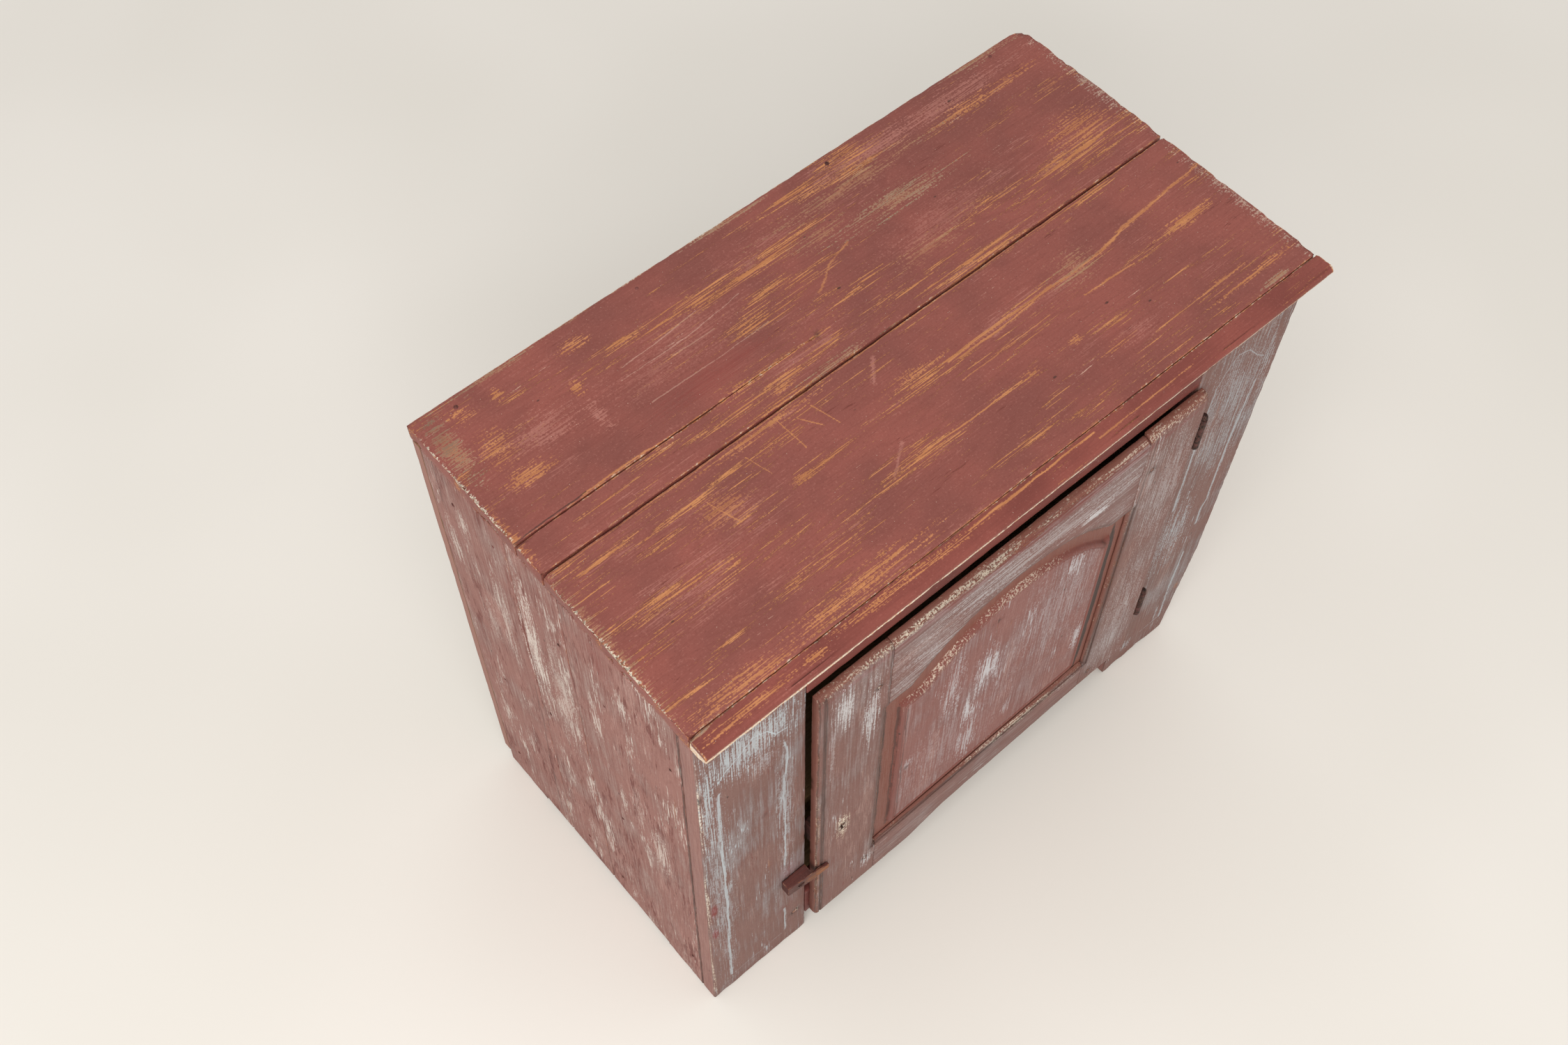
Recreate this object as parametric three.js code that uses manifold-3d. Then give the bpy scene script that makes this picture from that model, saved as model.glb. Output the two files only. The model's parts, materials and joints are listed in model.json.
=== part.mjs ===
// A low one-door cupboard in painted softwood, with a boarded top.
// Millimetres, +X to the right seen from the front, +Y to the back, +Z up.
// The front faces -Y, and the origin is on the floor under the middle of the whole outline.
// Inside the cabinet group, x starts at the left end of the top and y at the nosing's front face.
import * as THREE from 'three';
import { mergeVertices } from 'three/addons/utils/BufferGeometryUtils.js';
import Module from 'manifold-3d';

// Overall size
const topWidth = 1000;
const topDepth = 555;
const overallHeight = 914;

// Clearances and cutter overrun
const fitGap = 0.3;
const seamGap = 0.8;
const cutOverrun = 1;

// Top: two boards and a nosing strip
const topThickness = 25;
const nosingDepth = 30;
const nosingRound = 8;
const nosingUnderSlope = 14;
const nosingLipLeft = 14;
const nosingLipRight = 9;
const topBackBoardDepth = 265;
const topShakeWidth = 3;
const topCornerRound = 25;
const topCrackLength = 450;
const topCrackWidth = 2;
const topCrackFromBack = 215;
const topRightOverhang = 16;
const topBackOverhang = 5;
const topBackTaper = 5;

// Case walls: both lean to the left towards the floor, by these amounts over their height
const leftLean = 18;
const rightLean = 18;

// Front frame
const frameSetback = 22;
const frameThickness = 28;
const leftStileWidth = 159;
const rightStileWidth = 178;
const topRailHeight = 72;
const bottomRailHeight = 90;
const bottomRailLift = 54;
const frameTenonLength = 45;
const frameTenonThickness = 9;
const frameTenonShoulder = 10;
const rightFootWear = 22;
const rightFootWearHeight = 230;
const framePegRadius = 5;
const framePegInset = 20;
const pegSides = 8;

// Sides and back
const sideThickness = 22;
const sideFrontBoardWidth = 217;
const sideMiddleBoardWidth = 103;
const sideArchLift = 10;
const frontFootLength = 110;
const backFootLength = 110;
const backThickness = 15;
const backBoardCount = 4;
const backLift = 30;

// Inside: floor, shelf, cleats and the head rail behind
const floorThickness = 18;
const floorBoardCount = 3;
const shelfThickness = 20;
const lowerBayHeight = 236;
const shelfBoardCount = 2;
const shelfSetback = 10;
const cleatHeight = 30;
const cleatThickness = 22;
const cleatEndGap = 10;
const upperCleatDrop = 124;
const headRailHeight = 60;
const headRailThickness = 22;

// Door
const doorThickness = 15;
const doorStandoff = 0.5;
const doorLeftGap = 7;
const doorTopGap = 12;
const doorRightLap = 6;
const doorRightStileRise = 6;
const doorLeftStileWidth = 115;
const doorRightStileWidth = 103;
const doorTopRailHeight = 168;
const doorBottomLift = 64;
const doorBottomDrop = 47;
const doorBottomStepShare = 0.33;
const doorBottomStepRiseShare = 0.5;
const doorBottomRailHeight = 104;
const doorBottomRailTilt = 20;
const doorArchHalf = 174;
const doorArchRise = 75;
const doorArchSegments = 14;
const doorOvoloWidth = 8;
const doorGrooveDepth = 9;
const doorTongueThickness = 4;
const doorFrontCheek = 7.7;
const doorTenonLength = 40;
const doorTenonShoulder = 15;
const doorTenonRoot = 5;
const doorPegRadius = 3;
const doorPegInset = 20;
const edgeBeadWidth = 6;
const edgeBeadDepth = 6;
const edgeGrooveGap = 1;
const edgeGrooveWidth = 4;
const edgeGrooveDepth = 1.5;
const topMouldWidth = 14;
const topMouldDepth = 10;
const mouldSegments = 4;

// Door panel
const fieldMarginSide = 36;
const fieldMarginBottom = 42;
const fieldSink = 0.5;
const fieldArchHalf = 159;
const fieldArchRise = 78;
const fieldArchShift = 18;
const fieldCrownDrop = 50;
const stepDepth = 1.5;
const stepShare = 0.88;
const ridgeDepth = 4.2;
const ridgeShare = 0.7;
const recessShare = 0.2;

// Hinges: two lift-off barrels with ball tips, which stand beside the door and are let in with blades
const hingeAxisFromDoor = 9;
const hingeProud = 3;
const hingeRadius = 6;
const hingeKnuckleLength = 31.5;
const hingeTopInset = 60;
const hingeBottomInset = 106;
const hingeTipRadius = 5.5;
const hingeTipSink = 0.5;
const hingePinRadius = 3;
const hingePinCover = 8;
const hingeBladeThickness = 2;
const hingeBladeShoulder = 3;
const hingeDoorBladeLength = 30;
const hingeCaseBladeLength = 26;
const hingeSides = 16;

// Turn button
const buttonLength = 70;
const buttonHeight = 28;
const buttonTipHeight = 12;
const buttonPivotFromEnd = 22;
const buttonPivotFromStileEdge = 22;
const buttonAboveDoorFoot = 193;
const buttonRearGap = 0.4;
const buttonStepFromPivot = 20;
const buttonRootProud = 15;
const buttonArmThickness = 6;
const screwShankRadius = 2.5;
const screwHeadRadius = 5;
const screwHeadThickness = 3;
const screwSlotWidth = 1.6;
const screwSlotDepth = 1.2;
const screwDepth = 22;
const screwHeadSink = 1.5;
const roundSides = 12;

// Lock
const keyAboveDoorFoot = 290;
const lockLength = 76;
const lockHeight = 56;
const lockThickness = 16;
const lockWall = 3;
const lockInset = 3;
const lockBelowKey = 24;
const boltThickness = 6;
const boltHeight = 20;
const boltLength = 66;
const boltTravel = 22;
const boltNotchWidth = 12;
const boltNotchDepth = 5;
const boltAboveKey = 4;
const keyChamberWidth = 32;
const keyBackset = 46;
const keyholeRadius = 4;
const keyholeSlotWidth = 4;
const keyholeSlotLength = 13;
const lockScrewRadius = 1.6;
const lockScrewHeadRadius = 3.2;
const lockScrewHeadThickness = 1.6;
const lockScrewLength = 9;
const lockScrewInset = 6;

// Heights and depths that follow from those sizes
const topUnderside = overallHeight - topThickness;
const caseRight = topWidth - topRightOverhang;
const caseBack = topDepth - topBackOverhang;
const frameFront = frameSetback;
const frameBack = frameFront + frameThickness;
const sideBack = caseBack - backThickness;
const openingLeft = leftStileWidth;
const openingRight = caseRight - rightStileWidth;
const openingTop = topUnderside - topRailHeight;
const floorLevel = bottomRailLift + bottomRailHeight;
const shelfFront = frameBack + shelfSetback;
const shelfLevel = floorLevel + lowerBayHeight;

const doorBack = frameFront - doorStandoff;
const doorFront = doorBack - doorThickness;
const doorLeft = openingLeft + doorLeftGap;
const doorRight = openingRight + doorRightLap;
const doorTop = openingTop - doorTopGap;
const panelLeft = doorLeft + doorLeftStileWidth;
const panelRight = doorRight - doorRightStileWidth;
const panelShoulder = doorTop - doorTopRailHeight;
const panelBottomLeft = doorBottomLift + doorBottomRailHeight;
const panelBottomRight = panelBottomLeft + doorBottomRailTilt;
const doorBottomRight = doorBottomLift + doorBottomDrop;
const buttonLevel = doorBottomLift + buttonAboveDoorFoot;
const lockLevel = doorBottomLift + keyAboveDoorFoot;
const grooveFront = doorFront + doorFrontCheek;
const grooveBack = grooveFront + doorTongueThickness + 2 * fitGap;

const hingeX = doorRight + hingeAxisFromDoor;
const hingeY = doorFront - hingeProud + hingeRadius;

// Finishes
const paintTop = new THREE.MeshStandardMaterial({ color: 0x8f4b43, roughness: 0.62, metalness: 0 });
const paintCase = new THREE.MeshStandardMaterial({ color: 0x95716b, roughness: 0.75, metalness: 0 });
const paintDoor = new THREE.MeshStandardMaterial({ color: 0x8f665f, roughness: 0.72, metalness: 0 });
const bareWood = new THREE.MeshStandardMaterial({ color: 0x9a7a58, roughness: 0.85, metalness: 0 });
const wornWood = new THREE.MeshStandardMaterial({ color: 0xa5683f, roughness: 0.8, metalness: 0 });
const rustyIron = new THREE.MeshStandardMaterial({ color: 0x453833, roughness: 0.7, metalness: 0.7 });

const wasm = await Module();
wasm.setup();

const axisX = new THREE.Vector3(1, 0, 0);
const axisY = new THREE.Vector3(0, 1, 0);
const axisZ = new THREE.Vector3(0, 0, 1);
const facingFront = new THREE.Matrix4().makeBasis(axisX, axisZ, axisY.clone().negate());
const facingRight = new THREE.Matrix4().makeBasis(axisY, axisZ, axisX);

// A closed geometry as a solid that can be cut and joined
function asSolid(geometry) {
  const bare = geometry.clone();
  bare.deleteAttribute('normal');
  bare.deleteAttribute('uv');
  const merged = mergeVertices(bare);
  const vertProperties = Float32Array.from(merged.attributes.position.array);
  const triVerts = Uint32Array.from(merged.index.array);
  return new wasm.Manifold(new wasm.Mesh({ numProp: 3, vertProperties, triVerts }));
}

// A solid as a geometry for a mesh
function asGeometry(solid) {
  const mesh = solid.getMesh();
  const geometry = new THREE.BufferGeometry();
  geometry.setAttribute('position', new THREE.BufferAttribute(Float32Array.from(mesh.vertProperties), 3));
  geometry.setIndex(new THREE.BufferAttribute(Uint32Array.from(mesh.triVerts), 1));
  geometry.computeVertexNormals();
  return geometry;
}

// A rectangular block between two corners
function block(low, high) {
  const geometry = new THREE.BoxGeometry(high[0] - low[0], high[1] - low[1], high[2] - low[2]);
  geometry.translate((low[0] + high[0]) / 2, (low[1] + high[1]) / 2, (low[2] + high[2]) / 2);
  return geometry;
}

function extruded(points, length) {
  const shape = new THREE.Shape(points.map(([a, b]) => new THREE.Vector2(a, b)));
  return new THREE.ExtrudeGeometry(shape, { depth: length, bevelEnabled: false });
}

// An outline in x and z, given thickness from front to back
function platePrism(points, front, back) {
  return extruded(points, back - front).applyMatrix4(facingFront).translate(0, back, 0);
}

// An outline in x and y, given height
function postPrism(points, low, high) {
  return extruded(points, high - low).translate(0, 0, low);
}

// An outline in y and z, given length from left to right
function beamPrism(points, left, right) {
  return extruded(points, right - left).applyMatrix4(facingRight).translate(left, 0, 0);
}

// Points on a quarter turn, from the cosine and the sine of its angle
function quarterTurn(toPoint) {
  return Array.from({ length: mouldSegments + 1 }, (_, i) => {
    const angle = (i / mouldSegments) * (Math.PI / 2);
    return toPoint(Math.cos(angle), Math.sin(angle));
  });
}

// A round bar along one axis, from a start point, which may taper to another radius
function bar(axis, start, length, radius, sides, endRadius = radius) {
  const geometry = new THREE.CylinderGeometry(endRadius, radius, length, sides);
  geometry.translate(0, length / 2, 0);
  const turn = new THREE.Quaternion().setFromUnitVectors(axisY, axis);
  geometry.applyQuaternion(turn);
  geometry.translate(...start);
  return geometry;
}

const cut = (solid, ...geometries) => geometries.reduce((rest, g) => rest.subtract(asSolid(g)), solid);
const join = (solid, ...geometries) => geometries.reduce((rest, g) => rest.add(asSolid(g)), solid);

const cabinet = new THREE.Group();
cabinet.position.set(-(topWidth - leftLean) / 2, -topDepth / 2, 0);

function place(name, solid, material) {
  const mesh = new THREE.Mesh(asGeometry(solid), material);
  mesh.name = name;
  cabinet.add(mesh);
}

// Side boards from front to back, as [start, end] in y
const sideSeamFront = frameBack + sideFrontBoardWidth;
const sideSeamBack = sideSeamFront + sideMiddleBoardWidth;
const sideBoards = [
  [frameBack, sideSeamFront],
  [sideSeamFront + seamGap, sideSeamBack],
  [sideSeamBack + seamGap, sideBack],
];

const cleatLevels = {
  floor: floorLevel - floorThickness,
  shelf: shelfLevel - shelfThickness,
  upper: topUnderside - upperCleatDrop,
};

// Where the faces of the leaning walls are at a level
const leftOuter = (z) => -leftLean * (1 - z / topUnderside);
const rightOuter = (z) => caseRight - rightLean * (1 - z / topUnderside);
const leftInner = (z) => leftOuter(z) + sideThickness;
const rightInner = (z) => rightOuter(z) - sideThickness;

// Where the ends of the pieces fitted between the walls are at a level
const insideLeft = (z) => leftInner(z) + fitGap;
const insideRight = (z) => rightInner(z) - fitGap;

// An outline between two edges, each given as x at a level or as one x, from a low to a high level
function outlineBetween(left, right, low, high) {
  const at = (edge, z) => (typeof edge === 'function' ? edge(z) : edge);
  return [[at(left, low), low], [at(right, low), low], [at(right, high), high], [at(left, high), high]];
}

const topFrontBoardFront = nosingDepth + fitGap;
const topBackBoardFront = topDepth - topBackBoardDepth;
const topFrontBoardBack = topBackBoardFront - topShakeWidth;
const backBoardWidth = (caseRight - (backBoardCount - 1) * seamGap) / backBoardCount;
const backBoardStart = (i) => i * (backBoardWidth + seamGap);

// Boards that run from side to side, laid from front to back, as [start, end] in y
function crossBoards(front, back, count) {
  const width = (back - front - (count - 1) * seamGap) / count;
  return Array.from({ length: count }, (_, i) => {
    const start = front + i * (width + seamGap);
    return [start, start + width];
  });
}
const floorBoards = crossBoards(frameBack, sideBack, floorBoardCount);
const shelfBoards = crossBoards(shelfFront, sideBack, shelfBoardCount);

// The top: a tapered back board with a worn corner and a long crack, a front board, and a rounded
// nosing with a sloping underside, whose front lip gets thinner towards the right
function buildTop() {
  const crackCentre = topDepth - topCrackFromBack;
  const wornCorner = quarterTurn((across, along) => [
    topWidth - topCornerRound + topCornerRound * across,
    topDepth - topBackTaper - topCornerRound + topCornerRound * along,
  ]);
  const backOutline = [
    [0, topBackBoardFront], [topWidth, topBackBoardFront], ...wornCorner, [0, topDepth],
    [0, crackCentre + topCrackWidth / 2], [topCrackLength, crackCentre], [0, crackCentre - topCrackWidth / 2],
  ];
  place('top_board_back', asSolid(postPrism(backOutline, topUnderside, overallHeight)), paintTop);

  const frontBoard = block(
    [0, topFrontBoardFront, topUnderside],
    [topWidth, topFrontBoardBack, overallHeight],
  );
  place('top_board_front', asSolid(frontBoard), paintTop);

  const nosingSection = (x, lip) => [
    [x, nosingDepth, topUnderside],
    [x, nosingDepth, overallHeight],
    ...quarterTurn((across, along) => [
      x,
      nosingRound - nosingRound * along,
      overallHeight - nosingRound + nosingRound * across,
    ]),
    [x, 0, overallHeight - lip],
    [x, nosingUnderSlope, topUnderside],
  ];
  const nosing = wasm.Manifold.hull([
    ...nosingSection(0, nosingLipLeft),
    ...nosingSection(topWidth, nosingLipRight),
  ]);
  place('top_nosing', nosing, paintTop);
}

// Tenons of the two case rails, as [low, high] in z, and their place in the thickness
const frameTenons = {
  top: [openingTop + frameTenonShoulder, topUnderside - frameTenonShoulder],
  bottom: [bottomRailLift + frameTenonShoulder, floorLevel - frameTenonShoulder],
};
const frameTenonFront = frameFront + (frameThickness - frameTenonThickness) / 2;
const frameTenonBack = frameTenonFront + frameTenonThickness;

// One peg through each end of each rail's tenon, at the middle of its height
function pegsThrough(tenons, leftX, rightX) {
  return Object.entries(tenons).flatMap(([rail, [low, high]]) => [
    { name: `${rail}_left`, x: leftX, z: (low + high) / 2 },
    { name: `${rail}_right`, x: rightX, z: (low + high) / 2 },
  ]);
}

const framePegs = pegsThrough(frameTenons, openingLeft - framePegInset, openingRight + framePegInset);
const pegHole = ({ x, z }, radius, front, back) =>
  bar(axisY, [x, front - cutOverrun, z], back - front + 2 * cutOverrun, radius + fitGap, pegSides);
const peg = ({ x, z }, radius, front, back) => bar(axisY, [x, front, z], back - front, radius, pegSides);

// The mortise for a tenon, entered from the stile's inner edge
function frameMortise([low, high], edge, inwards) {
  const far = edge - inwards * (frameTenonLength + fitGap);
  const near = edge + inwards * cutOverrun;
  return block(
    [Math.min(far, near), frameTenonFront - fitGap, low - fitGap],
    [Math.max(far, near), frameTenonBack + fitGap, high + fitGap],
  );
}

const keyX = doorLeft + keyBackset;
const boltLow = lockLevel + boltAboveKey;
const boltFront = doorBack + (lockThickness - boltThickness) / 2;
const hingeLength = 2 * hingeKnuckleLength + fitGap;
const hingeLevels = {
  upper: doorTop - hingeTopInset - hingeLength,
  lower: doorBottomRight + hingeBottomInset,
};
const doorBladeBack = hingeY + hingeRadius;
const doorBladeFront = doorBladeBack - hingeBladeThickness;
const halfBlade = hingeBladeThickness / 2;
const hingeTop = (level) => level + hingeLength;

function buildFrame() {
  const pegHoles = framePegs.map((spot) => pegHole(spot, framePegRadius, frameFront, frameBack));
  const pivot = openingLeft - buttonPivotFromStileEdge;

  const leftOutline = outlineBetween(leftOuter, openingLeft, 0, topUnderside);
  let left = asSolid(platePrism(leftOutline, frameFront, frameBack));
  left = cut(left, ...pegHoles, frameMortise(frameTenons.top, openingLeft, 1),
    frameMortise(frameTenons.bottom, openingLeft, 1));
  left = cut(left, bar(axisY, [pivot, frameFront - cutOverrun, buttonLevel],
    screwDepth + fitGap + cutOverrun, screwShankRadius + fitGap, roundSides));
  const keeperDepth = boltTravel - doorLeftGap - lockInset + fitGap + cutOverrun;
  left = cut(left, block(
    [openingLeft - keeperDepth, boltFront - fitGap, boltLow - fitGap],
    [openingLeft + cutOverrun, boltFront + boltThickness + fitGap, boltLow + boltHeight + fitGap],
  ));
  place('stile_left', left, paintCase);

  const rightOutline = [
    [openingRight, 0], [rightOuter(0) - rightFootWear, 0],
    [rightOuter(rightFootWearHeight), rightFootWearHeight],
    [caseRight, topUnderside], [openingRight, topUnderside],
  ];
  let right = asSolid(platePrism(rightOutline, frameFront, frameBack));
  right = cut(right, ...pegHoles, frameMortise(frameTenons.top, openingRight, -1),
    frameMortise(frameTenons.bottom, openingRight, -1));
  for (const level of Object.values(hingeLevels)) {
    right = cut(right, block(
      [hingeX - halfBlade - fitGap, frameFront - cutOverrun, level + hingeBladeShoulder - fitGap],
      [hingeX + halfBlade + fitGap, hingeY + hingeRadius + hingeCaseBladeLength + fitGap,
        level + hingeKnuckleLength - hingeBladeShoulder + fitGap],
    ));
  }
  place('stile_right', right, paintCase);

  const rails = [
    { name: 'rail_top', low: openingTop, high: topUnderside, tenon: frameTenons.top },
    { name: 'rail_bottom', low: bottomRailLift, high: floorLevel, tenon: frameTenons.bottom },
  ];
  for (const { name, low, high, tenon } of rails) {
    const body = block([openingLeft + fitGap, frameFront, low], [openingRight - fitGap, frameBack, high]);
    const tongue = block(
      [openingLeft - frameTenonLength, frameTenonFront, tenon[0]],
      [openingRight + frameTenonLength, frameTenonBack, tenon[1]],
    );
    place(name, cut(join(asSolid(body), tongue), ...pegHoles), paintCase);
  }

  framePegs.forEach((spot) => {
    place(`frame_peg_${spot.name}`, asSolid(peg(spot, framePegRadius, frameFront, frameBack)), bareWood);
  });
}

// The side boards, whose lower edges rise between the front and back feet
function buildSides() {
  const archFront = frameFront + frontFootLength;
  const archBack = caseBack - backFootLength;
  const arch = block(
    [-leftLean - cutOverrun, archFront, -cutOverrun],
    [topWidth, archBack, sideArchLift],
  );
  const walls = { left: [leftOuter, leftInner], right: [rightInner, rightOuter] };
  for (const [side, faces] of Object.entries(walls)) {
    sideBoards.forEach(([start, end], i) => {
      const blank = platePrism(outlineBetween(...faces, 0, topUnderside), start, end);
      place(`side_${side}_board_${i + 1}`, cut(asSolid(blank), arch), paintCase);
    });
  }
}

// The back boards, of which the outer two follow the walls, and the head rail inside them
function buildBack() {
  for (let i = 0; i < backBoardCount; i += 1) {
    const left = i === 0 ? leftOuter : backBoardStart(i);
    const right = i === backBoardCount - 1 ? rightOuter : backBoardStart(i) + backBoardWidth;
    const board = platePrism(outlineBetween(left, right, backLift, topUnderside), sideBack, caseBack);
    place(`back_board_${i + 1}`, asSolid(board), paintCase);
  }
  const railOutline = outlineBetween(insideLeft, insideRight, topUnderside - headRailHeight, topUnderside);
  place('back_head_rail', asSolid(platePrism(railOutline, sideBack - headRailThickness, sideBack)), bareWood);
}

// Cleats on the side walls, with the floor and the shelf that lie on them
function buildInside() {
  const cleatFaces = {
    left: [insideLeft, (z) => insideLeft(z) + cleatThickness],
    right: [(z) => insideRight(z) - cleatThickness, insideRight],
  };
  for (const [side, faces] of Object.entries(cleatFaces)) {
    for (const [use, level] of Object.entries(cleatLevels)) {
      const outline = outlineBetween(...faces, level - cleatHeight, level);
      const cleat = platePrism(outline, frameBack + cleatEndGap, sideBack - headRailThickness - cleatEndGap);
      place(`${use}_cleat_${side}`, asSolid(cleat), bareWood);
    }
  }
  const floorOutline = outlineBetween(insideLeft, insideRight, floorLevel - floorThickness, floorLevel);
  floorBoards.forEach(([start, end], i) => {
    place(`floor_board_${i + 1}`, asSolid(platePrism(floorOutline, start, end)), bareWood);
  });
  const shelfOutline = outlineBetween(insideLeft, insideRight, shelfLevel - shelfThickness, shelfLevel);
  shelfBoards.forEach(([start, end], i) => {
    place(`shelf_board_${i + 1}`, asSolid(platePrism(shelfOutline, start, end)), bareWood);
  });
}

// An outline with square shoulders and an arch between them, anticlockwise seen from the front
function archedOutline({ left, right, bottomLeft, bottomRight, shoulder, centre, half, rise }) {
  const radius = (half * half + rise * rise) / (2 * rise);
  const spread = Math.asin(half / radius);
  const points = [[left, bottomLeft], [right, bottomRight], [right, shoulder]];
  for (let i = 0; i <= doorArchSegments; i += 1) {
    const angle = spread * (1 - (2 * i) / doorArchSegments);
    points.push([centre + radius * Math.sin(angle), shoulder + rise - radius + radius * Math.cos(angle)]);
  }
  points.push([left, shoulder]);
  return points;
}

const opening = {
  left: panelLeft,
  right: panelRight,
  bottomLeft: panelBottomLeft,
  bottomRight: panelBottomRight,
  shoulder: panelShoulder,
  centre: (panelLeft + panelRight) / 2,
  half: doorArchHalf,
  rise: doorArchRise,
};
const field = {
  left: panelLeft + fieldMarginSide,
  right: panelRight - fieldMarginSide,
  bottomLeft: panelBottomLeft + fieldMarginBottom,
  bottomRight: panelBottomRight + fieldMarginBottom,
  shoulder: panelShoulder + doorArchRise - fieldCrownDrop - fieldArchRise,
  centre: opening.centre + fieldArchShift,
  half: fieldArchHalf,
  rise: fieldArchRise,
};

// The opening's outline moved outwards by an even distance
function grown(outline, distance) {
  const radius = (outline.half ** 2 + outline.rise ** 2) / (2 * outline.rise) + distance;
  return {
    ...outline,
    left: outline.left - distance,
    right: outline.right + distance,
    bottomLeft: outline.bottomLeft - distance,
    bottomRight: outline.bottomRight - distance,
    shoulder: outline.shoulder + distance,
    half: Math.sqrt(2 * radius * outline.rise - outline.rise ** 2),
  };
}

// An outline part of the way from one to another
function between(from, to, share) {
  return Object.fromEntries(Object.keys(from).map((key) => [key, from[key] + (to[key] - from[key]) * share]));
}

// A closed skin through arched outlines, from front to back
function loft(rings) {
  const outlines = rings.map(({ outline }) => archedOutline(outline));
  const count = outlines[0].length;
  const positions = rings.flatMap(({ y }, r) => outlines[r].flatMap(([x, z]) => [x, y, z]));
  const indices = [];
  const cap = (points) =>
    THREE.ShapeUtils.triangulateShape(points.map(([x, z]) => new THREE.Vector2(x, z)), []);
  cap(outlines[0]).forEach(([a, b, c]) => indices.push(a, b, c));
  const last = (rings.length - 1) * count;
  cap(outlines[rings.length - 1]).forEach(([a, b, c]) => indices.push(last + a, last + c, last + b));
  for (let r = 0; r < rings.length - 1; r += 1) {
    for (let i = 0; i < count; i += 1) {
      const next = (i + 1) % count;
      const [front, frontNext] = [r * count + i, r * count + next];
      const [back, backNext] = [front + count, frontNext + count];
      indices.push(front, back, backNext, front, backNext, frontNext);
    }
  }
  const geometry = new THREE.BufferGeometry();
  geometry.setAttribute('position', new THREE.Float32BufferAttribute(positions, 3));
  geometry.setIndex(indices);
  return geometry;
}

// The cutter that opens the door frame and rounds its inner arris to an ovolo
function openingCutter() {
  const rings = [{ outline: grown(opening, doorOvoloWidth), y: doorFront - cutOverrun }];
  for (let i = 0; i <= mouldSegments; i += 1) {
    const angle = (i / mouldSegments) * (Math.PI / 2);
    rings.push({
      outline: grown(opening, doorOvoloWidth * (1 - Math.sin(angle))),
      y: doorFront + edgeGrooveDepth + (doorFrontCheek - edgeGrooveDepth) * (1 - Math.cos(angle)),
    });
  }
  rings.push({ outline: opening, y: doorBack + cutOverrun });
  return loft(rings);
}

const grooveCutter = () => loft([
  { outline: grown(opening, doorGrooveDepth), y: grooveFront },
  { outline: grown(opening, doorGrooveDepth), y: grooveBack },
]);

// A rounded edge as the outline of what is cut away, from the corner inwards.
// across counts from the edge into the face, and deep from the face backwards.
function roundedEdge(width, depth) {
  const points = [[-cutOverrun, -cutOverrun], [width, -cutOverrun]];
  for (let i = 0; i <= mouldSegments; i += 1) {
    const angle = (i / mouldSegments) * (Math.PI / 2);
    points.push([width - width * Math.sin(angle), depth - depth * Math.cos(angle)]);
  }
  points.push([-cutOverrun, depth]);
  return points;
}

const grooveOutline = (start) => [
  [start, -cutOverrun], [start + edgeGrooveWidth, -cutOverrun], [start + edgeGrooveWidth, 0],
  [start + edgeGrooveWidth / 2, edgeGrooveDepth], [start, 0],
];

function leftEdgeCutters() {
  const toPlan = ([across, deep]) => [doorLeft + across, doorFront + deep];
  const groove = grooveOutline(edgeBeadWidth + edgeGrooveGap);
  return [roundedEdge(edgeBeadWidth, edgeBeadDepth), groove]
    .map((outline) => postPrism(outline.map(toPlan), -cutOverrun, overallHeight));
}

function topEdgeCutter(level) {
  const toSection = ([across, deep]) => [doorFront + deep, level - across];
  return beamPrism(roundedEdge(topMouldWidth, topMouldDepth).map(toSection), -cutOverrun, topWidth);
}

const doorTenons = {
  top: [panelShoulder + doorTenonShoulder, doorTop - doorTenonShoulder],
  bottom: [doorBottomRight + doorTenonShoulder, panelBottomLeft - doorTenonShoulder],
};
const tenonFront = grooveFront + fitGap;
const tenonBack = grooveBack - fitGap;

const doorPegs = pegsThrough(doorTenons, panelLeft - doorPegInset, panelRight + doorPegInset);

function doorMortise([low, high], edge, inwards) {
  const far = edge - inwards * (doorTenonLength + fitGap);
  const near = edge + inwards * cutOverrun;
  return block(
    [Math.min(far, near), grooveFront, low - fitGap],
    [Math.max(far, near), grooveBack, high + fitGap],
  );
}

// The tenons at the two ends of a door rail
function tenonEnds([low, high]) {
  return [
    block([panelLeft - doorTenonLength, tenonFront, low], [panelLeft + doorTenonRoot, tenonBack, high]),
    block([panelRight - doorTenonRoot, tenonFront, low], [panelRight + doorTenonLength, tenonBack, high]),
  ];
}

function keyholeCutters(front, back) {
  return [
    bar(axisY, [keyX, front - cutOverrun, lockLevel], back - front + 2 * cutOverrun, keyholeRadius, roundSides),
    block(
      [keyX - keyholeSlotWidth / 2, front - cutOverrun, lockLevel - keyholeSlotLength],
      [keyX + keyholeSlotWidth / 2, back + cutOverrun, lockLevel],
    ),
  ];
}

const lockLeft = doorLeft + lockInset;
const lockLow = lockLevel - lockBelowKey;
const lockScrewCentres = [lockLeft + lockScrewInset, lockLeft + lockLength - lockScrewInset]
  .flatMap((x) => [lockLow + lockScrewInset, lockLow + lockHeight - lockScrewInset].map((z) => [x, z]))
  .filter(([x, z]) => x > lockLeft + lockLength / 2 || z < lockLevel);

const lockScrewHole = ([x, z], from, depth) =>
  bar(axisY, [x, from, z], depth, lockScrewRadius + fitGap, pegSides);

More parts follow.
